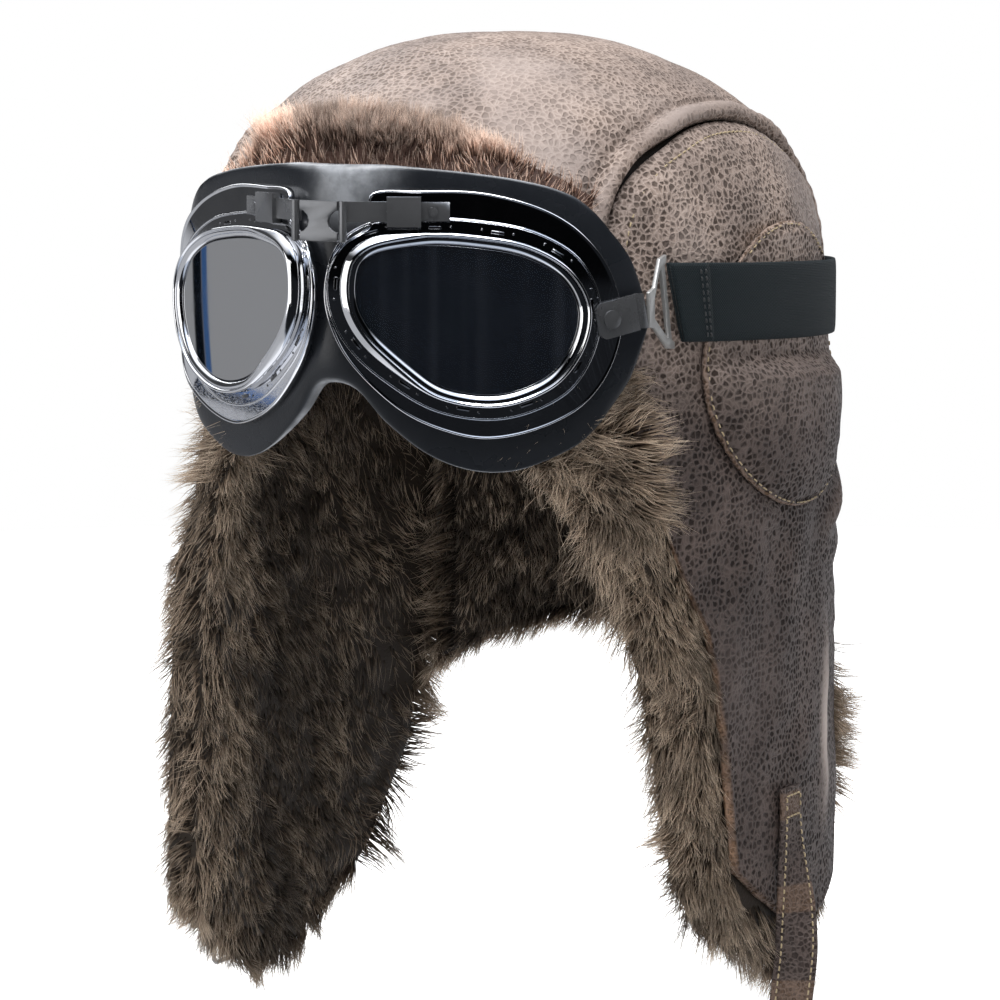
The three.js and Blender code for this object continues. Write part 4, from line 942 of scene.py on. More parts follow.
def make_ear_patch(side):
    """Rings from the middle of the oval to its edge, so that the creases can run along the spokes."""
    rings, spokes = np.sin(np.linspace(0.02, np.pi / 2, 34)), np.linspace(0, 2 * np.pi, 136, endpoint=False)
    r, angle = np.meshgrid(rings, spokes, indexing="ij")
    y, z = patch_place(r, angle)
    press = free_of_strap(y, z)
    flat = side_point(side, y, z, 0.0)
    crease = 0.4 * np.sin(angle * 34 + 3 * np.sin(angle * 5)) * ease((r - 0.78) / 0.16)
    swell = PATCH_EDGE + PATCH_BULGE * np.maximum(0, 1 - r ** 2) ** 0.7 * press
    swell = swell + (crease + 0.35 * ripple(flat, 22, 5)) * ease(press + 0.2)
    swell = swell - 0.7 * np.exp(-((r - 0.955) / 0.012) ** 2)
    outer = side_point(side, y, z, PATCH_GAP + np.maximum(swell, 0.5))
    base = side_point(side, y, z, PATCH_GAP)
    loops = np.concatenate([outer, base[::-1]])
    low = r > 0.985
    wear = np.concatenate([0.3 * low, 0.3 * low])
    stretch = ease((1 - r) / 0.5) * ease(press)
    values = {"wear": wear.ravel(), "stretch": 0.15 * np.concatenate([stretch, stretch]).ravel()}
    name = f"ear_patch_{side}"
    patch = add_mesh(name, loops, tube_faces(len(loops), loops.shape[1], False), values)
    return dress(patch, leather, replaces=[name])


for side in ("left", "right"):
    make_ear_patch(side)


# %% [markdown]
# Real stitches are short raised dashes with a gap where the thread goes through the leather. Each one is a
# small bent capsule: it starts below the surface, rises over it and dives again.

# %% Stitches
def stitch_row(paths, outs, length, spacing, radius):
    """All stitches along several paths as one set of points and faces."""
    points, faces, start = [], [], 0
    rings, sides = 7, 6
    for path, out in zip(paths, outs):
        run = arc_length(path)
        centre = np.arange(spacing / 2, run[-1] - spacing / 2, spacing)
        if not len(centre):
            continue
        t = np.linspace(-1, 1, rings)
        want = centre[:, None] + t * length / 2
        spine = np.stack([np.interp(want, run, path[:, k]) for k in range(3)], -1)
        lift = unit(np.stack([np.interp(want, run, out[:, k]) for k in range(3)], -1))
        rise = radius * (0.9 - 2.6 * t ** 6)
        spine = spine + lift * rise[None, :, None]
        along = unit(spine[:, -1:] - spine[:, :1])
        side = unit(np.cross(lift, along))
        ring = circle(1.0, sides)
        thick = radius * np.sqrt(np.clip(1.05 - t ** 8, 0.12, 1))[None, :, None, None]
        shell = spine[:, :, None] + thick * (ring[None, None, :, :1] * side[:, :, None]
                                             + ring[None, None, :, 1:] * lift[:, :, None])
        for face in tube_faces(rings, sides, False):
            shifted = face[None] + (np.arange(len(centre)) * rings * sides)[:, None, None] + start
            faces.append(shifted.reshape(-1, face.shape[1]))
        points.append(shell.reshape(-1, 3))
        start += len(centre) * rings * sides
    quads = [f for f in faces if f.shape[1] == 4]
    ends = [f for f in faces if f.shape[1] != 4]
    return np.concatenate(points), [np.concatenate(quads), np.concatenate(ends)]


def seam_line(sign, x, depth):
    """A line beside the seam at x, from the brow over the crown to the nape."""
    turn = np.linspace(0, np.pi, 300)
    low = np.linspace(-82, RIM_Z, 12, endpoint=False)
    plain = strip_point(sign * x, turn, 0.0)
    drawn_x = x - seam_shift(plain[:, 1], plain[:, 2])
    high = np.linspace(RIM_Z, nape_edge(STRIP_HALF) + 4, 90)[1:]
    return np.concatenate([wall_point(sign * drawn_x[0], -1, low, depth),
                           strip_point(sign * drawn_x, turn, depth),
                           wall_point(sign * x, 1, high, depth)])


def make_patch_stitches(side):
    """One line of stitches just inside the edge of an ear patch."""
    steps, share = 400, 0.975
    y, z = patch_place(share, np.linspace(0, 2 * np.pi, steps))
    lift = PATCH_GAP + PATCH_EDGE + 0.75 * PATCH_BULGE * (1 - share ** 2) ** 0.7 * free_of_strap(y, z)
    # The stitches stop where the elastic covers the seam, so the ring falls into runs that show.
    shown = np.abs(z - strap_z(y)) > STRAP_WIDTH / 2 + 1
    first = int(np.argmax(shown & ~np.roll(shown, 1)))
    order = (np.arange(steps) + first) % steps
    runs = np.split(order, np.nonzero(np.diff(shown[order].astype(int)))[0] + 1)
    lines = [side_point(side, y[r], z[r], lift[r]) for r in runs if shown[r[0]]]
    tops = [side_point(side, y[r], z[r], lift[r] + 1) for r in runs if shown[r[0]]]
    points, faces = stitch_row(lines, [b - a for a, b in zip(lines, tops)], 2.0, 3.2, 0.27)
    dress(add_mesh(f"patch_stitches_{side}", points, faces), pale_thread)


def make_seam_stitches(side):
    line, above = [seam_line(SIGN[side], SEAM_X + 3.7, depth) for depth in (0.35, 1.35)]
    points, faces = stitch_row([line], [above - line], 2.3, 3.1, 0.3)
    dress(add_mesh(f"seam_stitches_{side}", points, faces), pale_thread)


for side in ("left", "right"):
    make_patch_stitches(side)
    make_seam_stitches(side)

# %% [markdown]
# The elastic is a flat band that rests on the cap and runs round the back. The chin strap is sewn flat to
# the left flap and twists as it hangs free. Both are one rounded section carried along a path, wide across
# and thin out.

# %% Elastic band
BAND_STEPS, FOLD_STEPS, FOLD_THICK, BACK_DEPTH = 260, 9, 1.1, 2.3


def ribbon(name, centre, across, out, half, thick, values=None, sides=20):
    """A band with rounded edges, whose half width may change. Its flat pattern in mm is kept as a UV."""
    angle = np.linspace(0, 2 * np.pi, sides, endpoint=False)
    c, s = np.cos(angle), np.sin(angle)
    wide = np.sign(c) * np.abs(c) ** 0.4
    lift = 0.5 + 0.5 * np.sign(s) * np.abs(s) ** 0.6
    half = np.broadcast_to(half, len(centre))
    points = (centre[:, None] + (wide[None, :] * (half[:, None] - 0.01))[..., None] * across[:, None]
              + (lift * thick)[None, :, None] * out[:, None])
    run = arc_length(centre)
    flat = np.stack(np.broadcast_arrays(run[:, None], wide[None, :] * half[:, None]), -1)
    spread = None if values is None else {k: np.repeat(v, sides) for k, v in values.items()}
    return add_mesh(name, points, tube_faces(len(centre), sides, False), spread, flat)


def band_line():
    """The middle line of the elastic from one side round the back to the other, with its outward way."""
    first = np.arcsin(np.abs(STRAP_START_Y / HALF_DEPTH) ** (POWER / 2))
    angle = np.linspace(-first, np.pi + first, BAND_STEPS)
    c = np.sign(np.cos(angle)) * np.abs(np.cos(angle)) ** (2 / POWER)
    s = np.sign(np.sin(angle)) * np.abs(np.sin(angle)) ** (2 / POWER)
    y = HALF_DEPTH * s
    z = strap_z(y)
    depth = mix(STRAP_DEPTH, BACK_DEPTH, ease((y - 60) / 30))
    below_rim = np.minimum(z, RIM_Z) - 0.001
    inner, outer = [body_point(HALF_WIDTH * c, y, below_rim, depth + more) for more in (0, 1)]
    inner[:, 2] = z
    outer[:, 2] = z
    return inner, unit(outer - inner)


def make_elastic_fold(side, line, up, out):
    """The end is doubled back through the loop and sewn down: a second layer with two rows of stitches."""
    fold = ribbon(f"elastic_fold_{side}", line, up, out, STRAP_WIDTH / 2 - 0.3, FOLD_THICK)
    dress(fold, elastic)
    spots = [back if side == "left" else FOLD_STEPS - 1 - back for back in (6, 7)]
    across = np.linspace(-11.5, 11.5, 12)
    rows = [line[k] + out[k] * FOLD_THICK + np.outer(across, up[k]) for k in spots]
    points, faces = stitch_row(rows, [np.tile(out[k], (12, 1)) for k in spots], 1.7, 2.3, 0.28)
    dress(add_mesh(f"elastic_stitches_{side}", points, faces), black_thread)


def make_elastic_strap():
    centre, out = band_line()
    up = np.zeros_like(centre) + [0.0, 0.0, 1.0]
    wave = 0.25 * np.sin(arc_length(centre) / 9.0)
    # Towards its two ends the band's threads lean with the bars of the loops.
    along = unit(np.gradient(centre, axis=0))
    step = np.arange(BAND_STEPS)
    from_end = np.minimum(step, step[::-1])
    lean = -(2 * STRAP_LEAN / STRAP_WIDTH) * ease(1 - from_end / 14) * np.sign(BAND_STEPS // 2 - step)
    up = up + along * lean[:, None]
    middle = centre + out * (0.06 * wave)[:, None]
    strap = ribbon("elastic_strap", middle, up, out, STRAP_WIDTH / 2 + 0.12 * wave, STRAP_THICK)
    dress(strap, elastic, replaces=["elastic_strap"])
    over = centre + out * STRAP_THICK
    for side, end in (("left", slice(0, FOLD_STEPS)), ("right", slice(-FOLD_STEPS, None))):
        make_elastic_fold(side, over[end], up[end], out[end])


make_elastic_strap()

# %% [markdown]
# The chin strap is one strip of leather with a round end. It is sewn low on the left flap and turns by about
# 60 degrees as it hangs free, so that its flat side comes to face forwards.

# %% Chin strap
CHIN_WIDTH, CHIN_THICK, CHIN_ROUND = 14.5, 2.2, 7
CHIN_TOP_Z, CHIN_END_Z, HEM_Z = -238.0, -342.0, -289.0
CHIN_TOP_Y, CHIN_LOW_Y, CHIN_TWIST = -5.0, -11.0, np.radians(62)


def chin_line(z):
    """Middle, direction across and direction out of the strap at heights z."""
    down = ease((CHIN_TOP_Z - 8 - z) / 55)
    twist = CHIN_TWIST * down
    y = mix(CHIN_TOP_Y, CHIN_LOW_Y, down)
    skin = side_point("left", y - CHIN_WIDTH / 2 * np.cos(twist), np.maximum(z, HEM_Z), GAP + 0.4)
    x = skin[:, 0] + CHIN_WIDTH / 2 * np.sin(twist) - 2.5 * ease((HEM_Z - z) / 30)
    zero = np.zeros_like(z)
    return (np.stack([x, y, z], -1), np.stack([np.sin(twist), np.cos(twist), zero], -1),
            np.stack([np.cos(twist), -np.sin(twist), zero], -1))


def make_chin_strap():
    z_round = CHIN_END_Z + CHIN_ROUND * (1 - np.sin(np.linspace(0.1, np.pi / 2, 12)))
    z = np.concatenate([np.linspace(CHIN_TOP_Z, CHIN_END_Z + CHIN_ROUND, 120), z_round])
    centre, across, out = chin_line(z)
    from_end = np.clip((z - CHIN_END_Z) / CHIN_ROUND, 0, 1)
    half = CHIN_WIDTH / 2 * np.maximum(0.12, np.sqrt(1 - (1 - from_end) ** 2))
    wave = 0.35 * np.sin(z / 6.5) + 0.2 * np.sin(z / 2.9 + 1)
    worn = 0.5 * ease((CHIN_END_Z + 12 - z) / 10) + 0.25 * (np.sin(z / 5) > 0.6)
    middle = centre + out * (0.4 * wave * ease((HEM_Z + 40 - z) / 30))[:, None]
    values = {"wear": worn, "stretch": 0.2 + 0 * z}
    strap = ribbon("chin_strap", middle, across, out, half, CHIN_THICK, values)
    dress(strap, strap_leather, replaces=["chin_strap"])


def make_chin_stitches():
    """A box of stitches holds the strap to the flap, and one line runs on down each edge."""
    def line(z, wide):
        centre, across, out = chin_line(z)
        return centre + across * wide[:, None] + out * CHIN_THICK, out

    box_top, box_low = CHIN_TOP_Z - 2.4, CHIN_TOP_Z - 9.5
    edge = CHIN_WIDTH / 2 - 1.9
    down = np.linspace(box_top, box_low, 12)
    level = np.linspace(-edge, edge, 12)
    long = np.linspace(box_low, CHIN_END_Z + 5, 150)
    lines = [line(down, 0 * down - edge), line(down, 0 * down + edge),
             line(0 * level + box_top, level), line(0 * level + box_low, level),
             line(long, 0 * long - edge), line(long, 0 * long + edge)]
    points, faces = stitch_row(*zip(*lines), 1.9, 2.6, 0.3)
    dress(add_mesh("chin_strap_stitches", points, faces), pale_thread)


make_chin_strap()
make_chin_stitches()

# %% [markdown]
# Each eye of the goggles lies in its own plane, turned 29 degrees from the front and bent back past its
# outer end. A point is given by its distances outwards, upwards and forwards from the middle of the eye:
#
# along = u while u is short, then an arc of radius 30 mm, then straight on at the bent angle
#
# The outlines of lens and plate are closed curves through a few points in that plane.

# %% The plane of an eye
EYE_X, EYE_Y, EYE_Z, EYE_TURN = 42.0, -118.7, -75.4, np.radians(29)
BEND_START, BEND_RADIUS, BEND_ANGLE = 34.0, 30.0, np.radians(30)
PLATE_THICK, PLATE_BACK = 1.6, -4.4
RIM_FLAT = 1.5


def eye_point(side, u, w, n):
    """The place for distances outwards, upwards and forwards from the middle of an eye."""
    u, w, n = np.broadcast_arrays(u, w, n)
    turn = np.clip((u - BEND_START) / BEND_RADIUS, 0, BEND_ANGLE)
    straight = np.minimum(u, BEND_START)
    beyond = np.maximum(0, u - BEND_START - BEND_RADIUS * BEND_ANGLE)
    angle = EYE_TURN + turn
    c, s = np.cos(EYE_TURN), np.sin(EYE_TURN)
    along = straight * c + BEND_RADIUS * (np.sin(angle) - s) + beyond * np.cos(angle)
    back = straight * s + BEND_RADIUS * (c - np.cos(angle)) + beyond * np.sin(angle)
    x = EYE_X + along + n * np.sin(angle)
    return np.stack([SIGN[side] * x, EYE_Y + back - n * np.cos(angle), EYE_Z + w], -1)


def smooth_loop(points, count):
    """A closed centripetal curve through the points, sampled at even steps of its length."""
    p1 = np.array(points, float)
    p0, p2, p3 = np.roll(p1, 1, 0), np.roll(p1, -1, 0), np.roll(p1, -2, 0)
    gap = lambda a, b: np.linalg.norm(b - a, axis=1, keepdims=True) ** 0.5
    d0, d1, d2 = gap(p0, p1), gap(p1, p2), gap(p2, p3)
    t1 = d1 * ((p1 - p0) / d0 - (p2 - p0) / (d0 + d1) + (p2 - p1) / d1)
    t2 = d1 * ((p2 - p1) / d1 - (p3 - p1) / (d1 + d2) + (p3 - p2) / d2)
    t = np.linspace(0, 1, 40, endpoint=False)[None, :, None]
    fine = (p1[:, None] + t1[:, None] * t + (-3 * p1 + 3 * p2 - 2 * t1 - t2)[:, None] * t ** 2
            + (2 * p1 - 2 * p2 + t1 + t2)[:, None] * t ** 3).reshape(-1, 2)
    ring = np.concatenate([fine, fine[:1]])
    run = arc_length(ring)
    want = np.linspace(0, run[-1], count, endpoint=False)
    return np.stack([np.interp(want, run, ring[:, k]) for k in range(2)], -1)


def inset(loop, distance):
    """Moves a loop inwards, square to its own run."""
    run = unit(np.roll(loop, -1, 0) - np.roll(loop, 1, 0))
    inward = np.stack([run[:, 1], -run[:, 0]], -1)
    return loop + inward * np.reshape(distance, (-1, 1))


def by_angle(loop, count):
    """The same loop with its points at even steps of the angle about the middle of the eye."""
    angle = np.arctan2(loop[:, 1], loop[:, 0])
    order = np.argsort(angle)
    want = np.linspace(-np.pi, np.pi, count, endpoint=False)
    return np.stack([np.interp(want, angle[order], loop[order, k], period=2 * np.pi) for k in range(2)], -1)


RIM_OUTLINE = [[-39.3, 11.5], [-37, 20.5], [-30, 26], [-14.6, 27.7], [2.4, 27], [20.7, 23.5], [33.5, 15.7],
               [39.3, 4.5], [37.7, -7.7], [30.3, -19], [19, -25.3], [7.2, -27.4], [-8.2, -24.7],
               [-21, -17.3], [-32.2, -7.7], [-38, 2]]
PLATE_OUTLINE = [[-29.8, 30.5], [-29.8, 39.4], [-14, 40.7], [7.3, 39.8], [28.2, 33.2], [42.4, 21.9],
                 [50.2, 8.7], [51.5, -3.9], [47.9, -14.6], [38.9, -25.8], [25, -33.9], [7.3, -37.7],
                 [-6.6, -35.2], [-20.5, -28.6], [-36.3, -13.5], [-42.1, -2.9], [-44.4, 7.4], [-43, 17],
                 [-38.5, 24]]
RIM_STEPS, PLATE_STEPS = 220, 260
RIM_LOOP = smooth_loop(RIM_OUTLINE, RIM_STEPS)
PLATE_LOOP = smooth_loop(PLATE_OUTLINE, 900)
print("rim length:", round(float(arc_length(np.concatenate([RIM_LOOP, RIM_LOOP[:1]]))[-1]), 1), "mm")


# %% [markdown]
# The plate is a flat ring with a thin rolled lip along its outer edge, which catches the light as one
# bright line. Small tabs and rivets round the rim hold the lens ring down.

# %% Shells, rivets and small blocks
def shells(parts):
    """Several closed shells, each (points, face list), as one set of points and faces."""
    points, by_size, start = [], {}, 0
    for shell_points, faces in parts:
        flat = shell_points.reshape(-1, 3)
        if sum(signed_volume(flat, f) for f in faces) < 0:
            faces = [f[:, ::-1] for f in faces]
        for face in faces:
            by_size.setdefault(face.shape[1], []).append(face + start)
        points.append(flat)
        start += len(flat)
    return np.concatenate(points), [np.concatenate(f) for f in by_size.values()]


def ring_shell(loops):
    """A ring through sections stored as loops, sections, 3."""
    return loops, [grid_quads(loops.shape[0], loops.shape[1], wrap_rows=True, wrap_cols=True)]


def dome_shell(side, u, w, radius, low, high, sides=14):
    """A small round rivet head: rings that narrow as they rise."""
    rise = np.linspace(0, 1, 5)
    angle = np.linspace(0, 2 * np.pi, sides, endpoint=False)
    reach = radius * np.sqrt(np.clip(1 - rise ** 2, 0.02, 1))
    levels = np.concatenate([[low], mix(low + 0.3 * (high - low), high, rise)])[:, None]
    reach = np.concatenate([[radius], reach])[:, None]
    loops = eye_point(side, u + reach * np.cos(angle), w + reach * np.sin(angle), levels)
    return loops, tube_faces(len(levels), sides, False)


def block_shell(side, corners, low, high, chamfer=0.18):
    """A small flat plate with chamfered upper edges, from corners (u, w) in order."""
    corners = np.array(corners, float)
    middle = corners.mean(0)
    small = middle + (corners - middle) * (1 - 2 * chamfer / np.ptp(corners, axis=0).min())
    loops = np.stack([eye_point(side, c[:, 0], c[:, 1], n)
                      for c, n in ((corners, low), (corners, high - chamfer), (small, high))])
    return loops, tube_faces(3, len(corners), False)


def places_and_normals(mesh):
    """The places in mm and the unit normals of a mesh's points."""
    count = len(mesh.vertices)
    spots, normals = np.empty(3 * count), np.empty(3 * count)
    mesh.vertices.foreach_get("co", spots)
    mesh.vertex_normals.foreach_get("vector", normals)
    return spots.reshape(-1, 3) / MM, normals.reshape(-1, 3)


def dished(obj, turned=0.4):
    """Leans a flat plate's normals up at its top and down at its bottom, as on a slightly dished sheet."""
    spots, normals = places_and_normals(obj.data)
    bent = normals + np.outer(turned * (spots[:, 2] - EYE_Z) / 60, [0, 0, 1.0])
    obj.data.normals_split_custom_set_from_vertices(unit(bent).tolist())
    return obj


print("plate length:", round(float(arc_length(np.concatenate([PLATE_LOOP, PLATE_LOOP[:1]]))[-1]), 1), "mm")

# %% Eye plates
# The lip's section: distances in from the plate's edge, and heights over its front.
LIP_REACH = [0.0, 0.0, 0.1, 0.35, 0.65, 0.9, 1.1, 1.4, 1.7]
LIP_HIGH = [-PLATE_THICK, -0.1, 0.35, 0.55, 0.4, 0.05, 0, 0, 0]
STEP_SECTION = [(4.6, -0.3), (4.45, 0.25), (4.1, 0.4), (3.75, 0.25), (3.6, -0.3)]
TAB_CORNERS = [(-2.2, 0.8), (2.2, 0.8), (2.0, 1.9), (-2.0, 1.9)]
TAB_EVERY, RIVET_ASIDE, RIVET_OUT, RIVET_RADIUS = 20, 5.0, 1.6, 0.45


def make_eye_plate(side):
    outer, inner = by_angle(PLATE_LOOP, PLATE_STEPS), by_angle(inset(RIM_LOOP, 2), PLATE_STEPS)
    width = np.linalg.norm(outer - inner, axis=1)[:, None]
    front = PLATE_BACK + PLATE_THICK
    level = front + np.array([*LIP_HIGH, 0, 0, -PLATE_THICK])
    lip = np.broadcast_to(LIP_REACH, (PLATE_STEPS, len(LIP_REACH)))
    share = np.concatenate([lip, width - 0.6, width, width], 1) / width
    flat = outer[:, None] + share[..., None] * (inner - outer)[:, None]
    parts = [ring_shell(eye_point(side, flat[..., 0], flat[..., 1], level[None, :]))]
    # A pressed step runs round the rim, outside the rivets.
    step = [eye_point(side, *inset(RIM_LOOP[::2], -d).T, front + h) for d, h in STEP_SECTION]
    parts.append(ring_shell(np.stack(step, 1)))
    run = unit(np.roll(RIM_LOOP, -1, 0) - np.roll(RIM_LOOP, 1, 0))
    out = np.stack([-run[:, 1], run[:, 0]], -1)
    for k in range(0, RIM_STEPS, TAB_EVERY):
        foot, along, away = RIM_LOOP[k], run[k], out[k]
        corners = [foot + along * a + away * b for a, b in TAB_CORNERS]
        parts.append(block_shell(side, corners, front - 0.3, front + 0.16, 0.08))
        for aside in (-RIVET_ASIDE, RIVET_ASIDE):
            spot = foot + along * aside + away * RIVET_OUT
            parts.append(dome_shell(side, spot[0], spot[1], RIVET_RADIUS, front - 0.2, front + 0.25))
    points, faces = shells(parts)
    smooth_part = sum(part[0].size // 3 for part in parts[:2])
    name = f"eye_plate_{side}"
    plate = add_mesh(name, points, faces, {"tarnish": (np.arange(len(points)) >= smooth_part) * 1.0})
    return dress(dished(plate), chrome, replaces=[name])


# %% [markdown]
# A double rim holds each lens: two rounded beads side by side, the outer one higher. Towards the nose the
# section changes and the outer bead becomes a slope. The lens is a shallow dome under the inner bead.

# %% Rims and lenses
# Each row of a section is the distance in from the rim's edge and the height there.
BEADS = np.array([
    [0, -2.1], [0, 1], [0.05, 1.5], [0.2, 1.9], [0.45, 2.08], [0.7, 2.1], [0.95, 1.95], [1.15, 1.6],
    [1.3, 1.35], [1.45, 1.42], [1.7, 1.5], [2.2, 1.45], [2.8, 1.2], [3.3, 0.8], [3.6, 0.4], [3.7, 0.1],
    [3.7, -2.1]])
NOSE_BEADS = np.array([
    [0, -2.1], [0, 0.1], [0.1, 0.35], [0.6, 0.8], [1.2, 1.28], [1.8, 1.75], [2.4, 2.1], [2.75, 2.05],
    [2.95, 1.6], [3.1, 1.4], [3.3, 1.5], [3.7, 1.5], [4.2, 1.3], [4.6, 1], [5, 0.6], [5.2, 0.1],
    [5.2, -2.1]])
LENS_BACK, LENS_HIGH, LENS_ROUND = -1.9, 0.7, 39.0


def make_lens_rim(side):
    near_nose = ease((-RIM_LOOP[:, 0] - 8) / 22)
    loops = []
    for bead, nose_bead in zip(BEADS, NOSE_BEADS):
        deep, high = mix(bead[:, None], nose_bead[:, None], near_nose)
        loops.append(eye_point(side, *inset(RIM_LOOP, deep).T, high))
    name = f"lens_rim_{side}"
    points, faces = shells([ring_shell(np.stack(loops, 1))])
    return dress(add_mesh(name, points, faces), chrome, replaces=[name])


def make_lens(side):
    flat = inset(RIM_LOOP, RIM_FLAT + 2.2 + GAP)
    rings = 13
    share = np.concatenate([[1.0], np.cos(np.linspace(0.0, np.pi / 2, rings, endpoint=False))])[:, None]
    u, w = flat[:, 0] * share, flat[:, 1] * share
    dome = LENS_HIGH - (u ** 2 + w ** 2) / LENS_ROUND ** 2
    level = np.where(np.arange(rings + 1)[:, None] == 0, LENS_BACK, dome)
    name = f"lens_{side}"
    lens = add_mesh(name, eye_point(side, u, w, level), tube_faces(rings + 1, len(flat), False))
    return dress(lens, glass, replaces=[name])


for side in ("left", "right"):
    make_eye_plate(side)
    make_lens_rim(side)
    make_lens(side)


# %% [markdown]
# The mask is one soft pad across both eyes. Sections run from one temple to the other. Each is a rounded
# rectangle whose back rests on the cap, and the two eye openings are cut through the finished pad.
#
# section = sign(v) * |v| to the power 0.55, for the cosine and the sine of the angle round it

# %% Goggle mask
NOSE_U = -EYE_X / np.cos(EYE_TURN)
MASK_COLUMNS = np.array([
    [NOSE_U, -27, -96, 15], [-37.7, -27, -98.5, 15], [-26.3, -27, -108, 15], [-12.6, -28, -118, 15],
    [2.3, -29.5, -123.5, 15], [16, -31.5, -123.5, 15], [29.7, -35, -118.5, 14], [40, -40, -113, 11],
    [49.5, -47.5, -105, 9], [57.5, -57, -95, 7.5], [63, -66, -87, 5]])
MASK_RECESS, MASK_SIDES, MASK_ROUND_U = 5.0, 64, 56


def smooth_columns(u):
    """Top, bottom and depth of the mask at distances u, in soft curves through the rows of the table."""
    rows = MASK_COLUMNS
    slope = np.gradient(rows[:, 1:], rows[:, 0], axis=0)
    slope[0, :2] *= 0.0
    k = np.clip(np.searchsorted(rows[:, 0], u) - 1, 0, len(rows) - 2)
    step = (rows[k + 1, 0] - rows[k, 0])[:, None]
    t = (u[:, None] - rows[k, :1]) / step
    a, b, sa, sb = rows[k, 1:], rows[k + 1, 1:], slope[k] * step, slope[k + 1] * step
    return a + sa * t + (3 * (b - a) - 2 * sa - sb) * t ** 2 + (2 * (a - b) + sa + sb) * t ** 3


def nose_round(x):
    return np.maximum(0, (np.hypot(x, 12) - np.abs(x)) * np.tan(EYE_TURN) - 0.9)


def mask_point(side, u, w, n):
    """As eye_point, but over the nose the depth runs straight back, so the halves meet without a fold."""
    point = eye_point(side, u, w, n)
    level = eye_point(side, u, w, 0 * n)
    share = ease((u - NOSE_U) / 26)
    point[..., 0] = mix(level[..., 0], point[..., 0], share)
    return point


def mask_section(side, u, top, low, deep):
    """One loop of the mask. Its back goes inwards until it meets the thin fur on the cap."""
    face = mask_point(side, u, 0.0, -MASK_RECESS)
    inward = mask_point(side, u, 0.0, -MASK_RECESS - 1) - face
    face[1] += nose_round(face[0])
    tries = np.arange(3, deep, 0.1)
    reach = face + inward * tries[:, None]
    inside = rest(reach[:, 0] / (HALF_WIDTH + 4.4), reach[:, 1] / (HALF_DEPTH + 5.4)) > 0
    back = tries[inside][0] if inside.any() else deep
    angle = 2 * np.pi * (np.arange(MASK_SIDES) + 0.5) / MASK_SIDES
    c, s = np.cos(angle), np.sin(angle)
    soft = lambda v: np.sign(v) * np.abs(v) ** 0.55
    n = -MASK_RECESS - back / 2 + back / 2 * soft(c)
    w = (top + low) / 2 - EYE_Z + (top - low) / 2 * soft(s)
    points = mask_point(side, u, w, n)
    points[:, 1] += nose_round(points[:, 0])
    if u <= NOSE_U:
        points[:, 0] = 0.0
    return points


def paint_mask_sheen(mesh):
    """Stores where a pale sheen is painted on the pad: along its upper and lower edges, and in a patch over
    the nose.
    """
    spots, normals = places_and_normals(mesh)
    upper = ease((normals[:, 2] - 0.25) / 0.5) * ease((spots[:, 2] + 60) / 12) * (normals[:, 1] < 0.35)
    nose = 0.85 * ease(1 - np.abs(spots[:, 0] - 7) / 20) * ease((spots[:, 2] + 50) / 12)
    lower = 0.7 * ease((-normals[:, 2] - 0.5) / 0.25) * (spots[:, 2] < -70) * (normals[:, 1] < 0.2)
    kept = ease((78 - np.abs(spots[:, 0])) / 25)
    painted_sheen = np.clip((upper + lower) * kept + nose, 0, 1)
    mesh.attributes.new("painted_sheen", "FLOAT", "POINT").data.foreach_set("value", painted_sheen)


def mask_half(side):
    """The sections of one half, from the nose to the temple, where they shrink to a round end."""
    end = MASK_COLUMNS[-1, 0]
    round_end = mix(MASK_ROUND_U, end, np.sin(np.linspace(0.12, 1, 10) * np.pi / 2))
    u = np.concatenate([np.linspace(NOSE_U, MASK_ROUND_U, 64), round_end])
    top, low, deep = smooth_columns(u).T
    taper = np.sqrt(np.clip(1 - ((u - MASK_ROUND_U) / (end - (MASK_ROUND_U - 0.4))) ** 2, 0.02, 1))
    taper = taper * (u > MASK_ROUND_U) + (u <= MASK_ROUND_U)
    middle, tall = (top + low) / 2, (top - low) / 2 * taper
    return np.stack([mask_section(side, *row) for row in zip(u, middle + tall, middle - tall, deep)])


def make_goggle_mask():
    loops = np.concatenate([mask_half("right")[:0:-1], mask_half("left")])
    mask = add_mesh("goggle_mask", loops, tube_faces(len(loops), MASK_SIDES, False))
    bpy.context.view_layer.objects.active = mask
    for side in ("left", "right"):
        ring = inset(RIM_LOOP[::2], 7.0)
        sheets = np.stack([eye_point(side, ring[:, 0], ring[:, 1], n) for n in (-60, -20, 20)])
        tool = add_mesh(f"tunnel_{side}", sheets, tube_faces(3, len(ring), False))
        cut = mask.modifiers.new("eye", "BOOLEAN")
        cut.operation, cut.solver, cut.object = "DIFFERENCE", "MANIFOLD", tool
        bpy.ops.object.modifier_apply(modifier=cut.name)
        bpy.data.objects.remove(tool)
    mask.data.set_sharp_from_angle(angle=np.radians(50))
    paint_mask_sheen(mask.data)
    return dress(mask, padding, replaces=["goggle_mask"])


make_goggle_mask()


# %% [markdown]
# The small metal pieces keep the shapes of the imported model. Each is copied, its flat faces are merged and
# its edges are given a narrow bevel, so that they catch a line of light as pressed metal does.

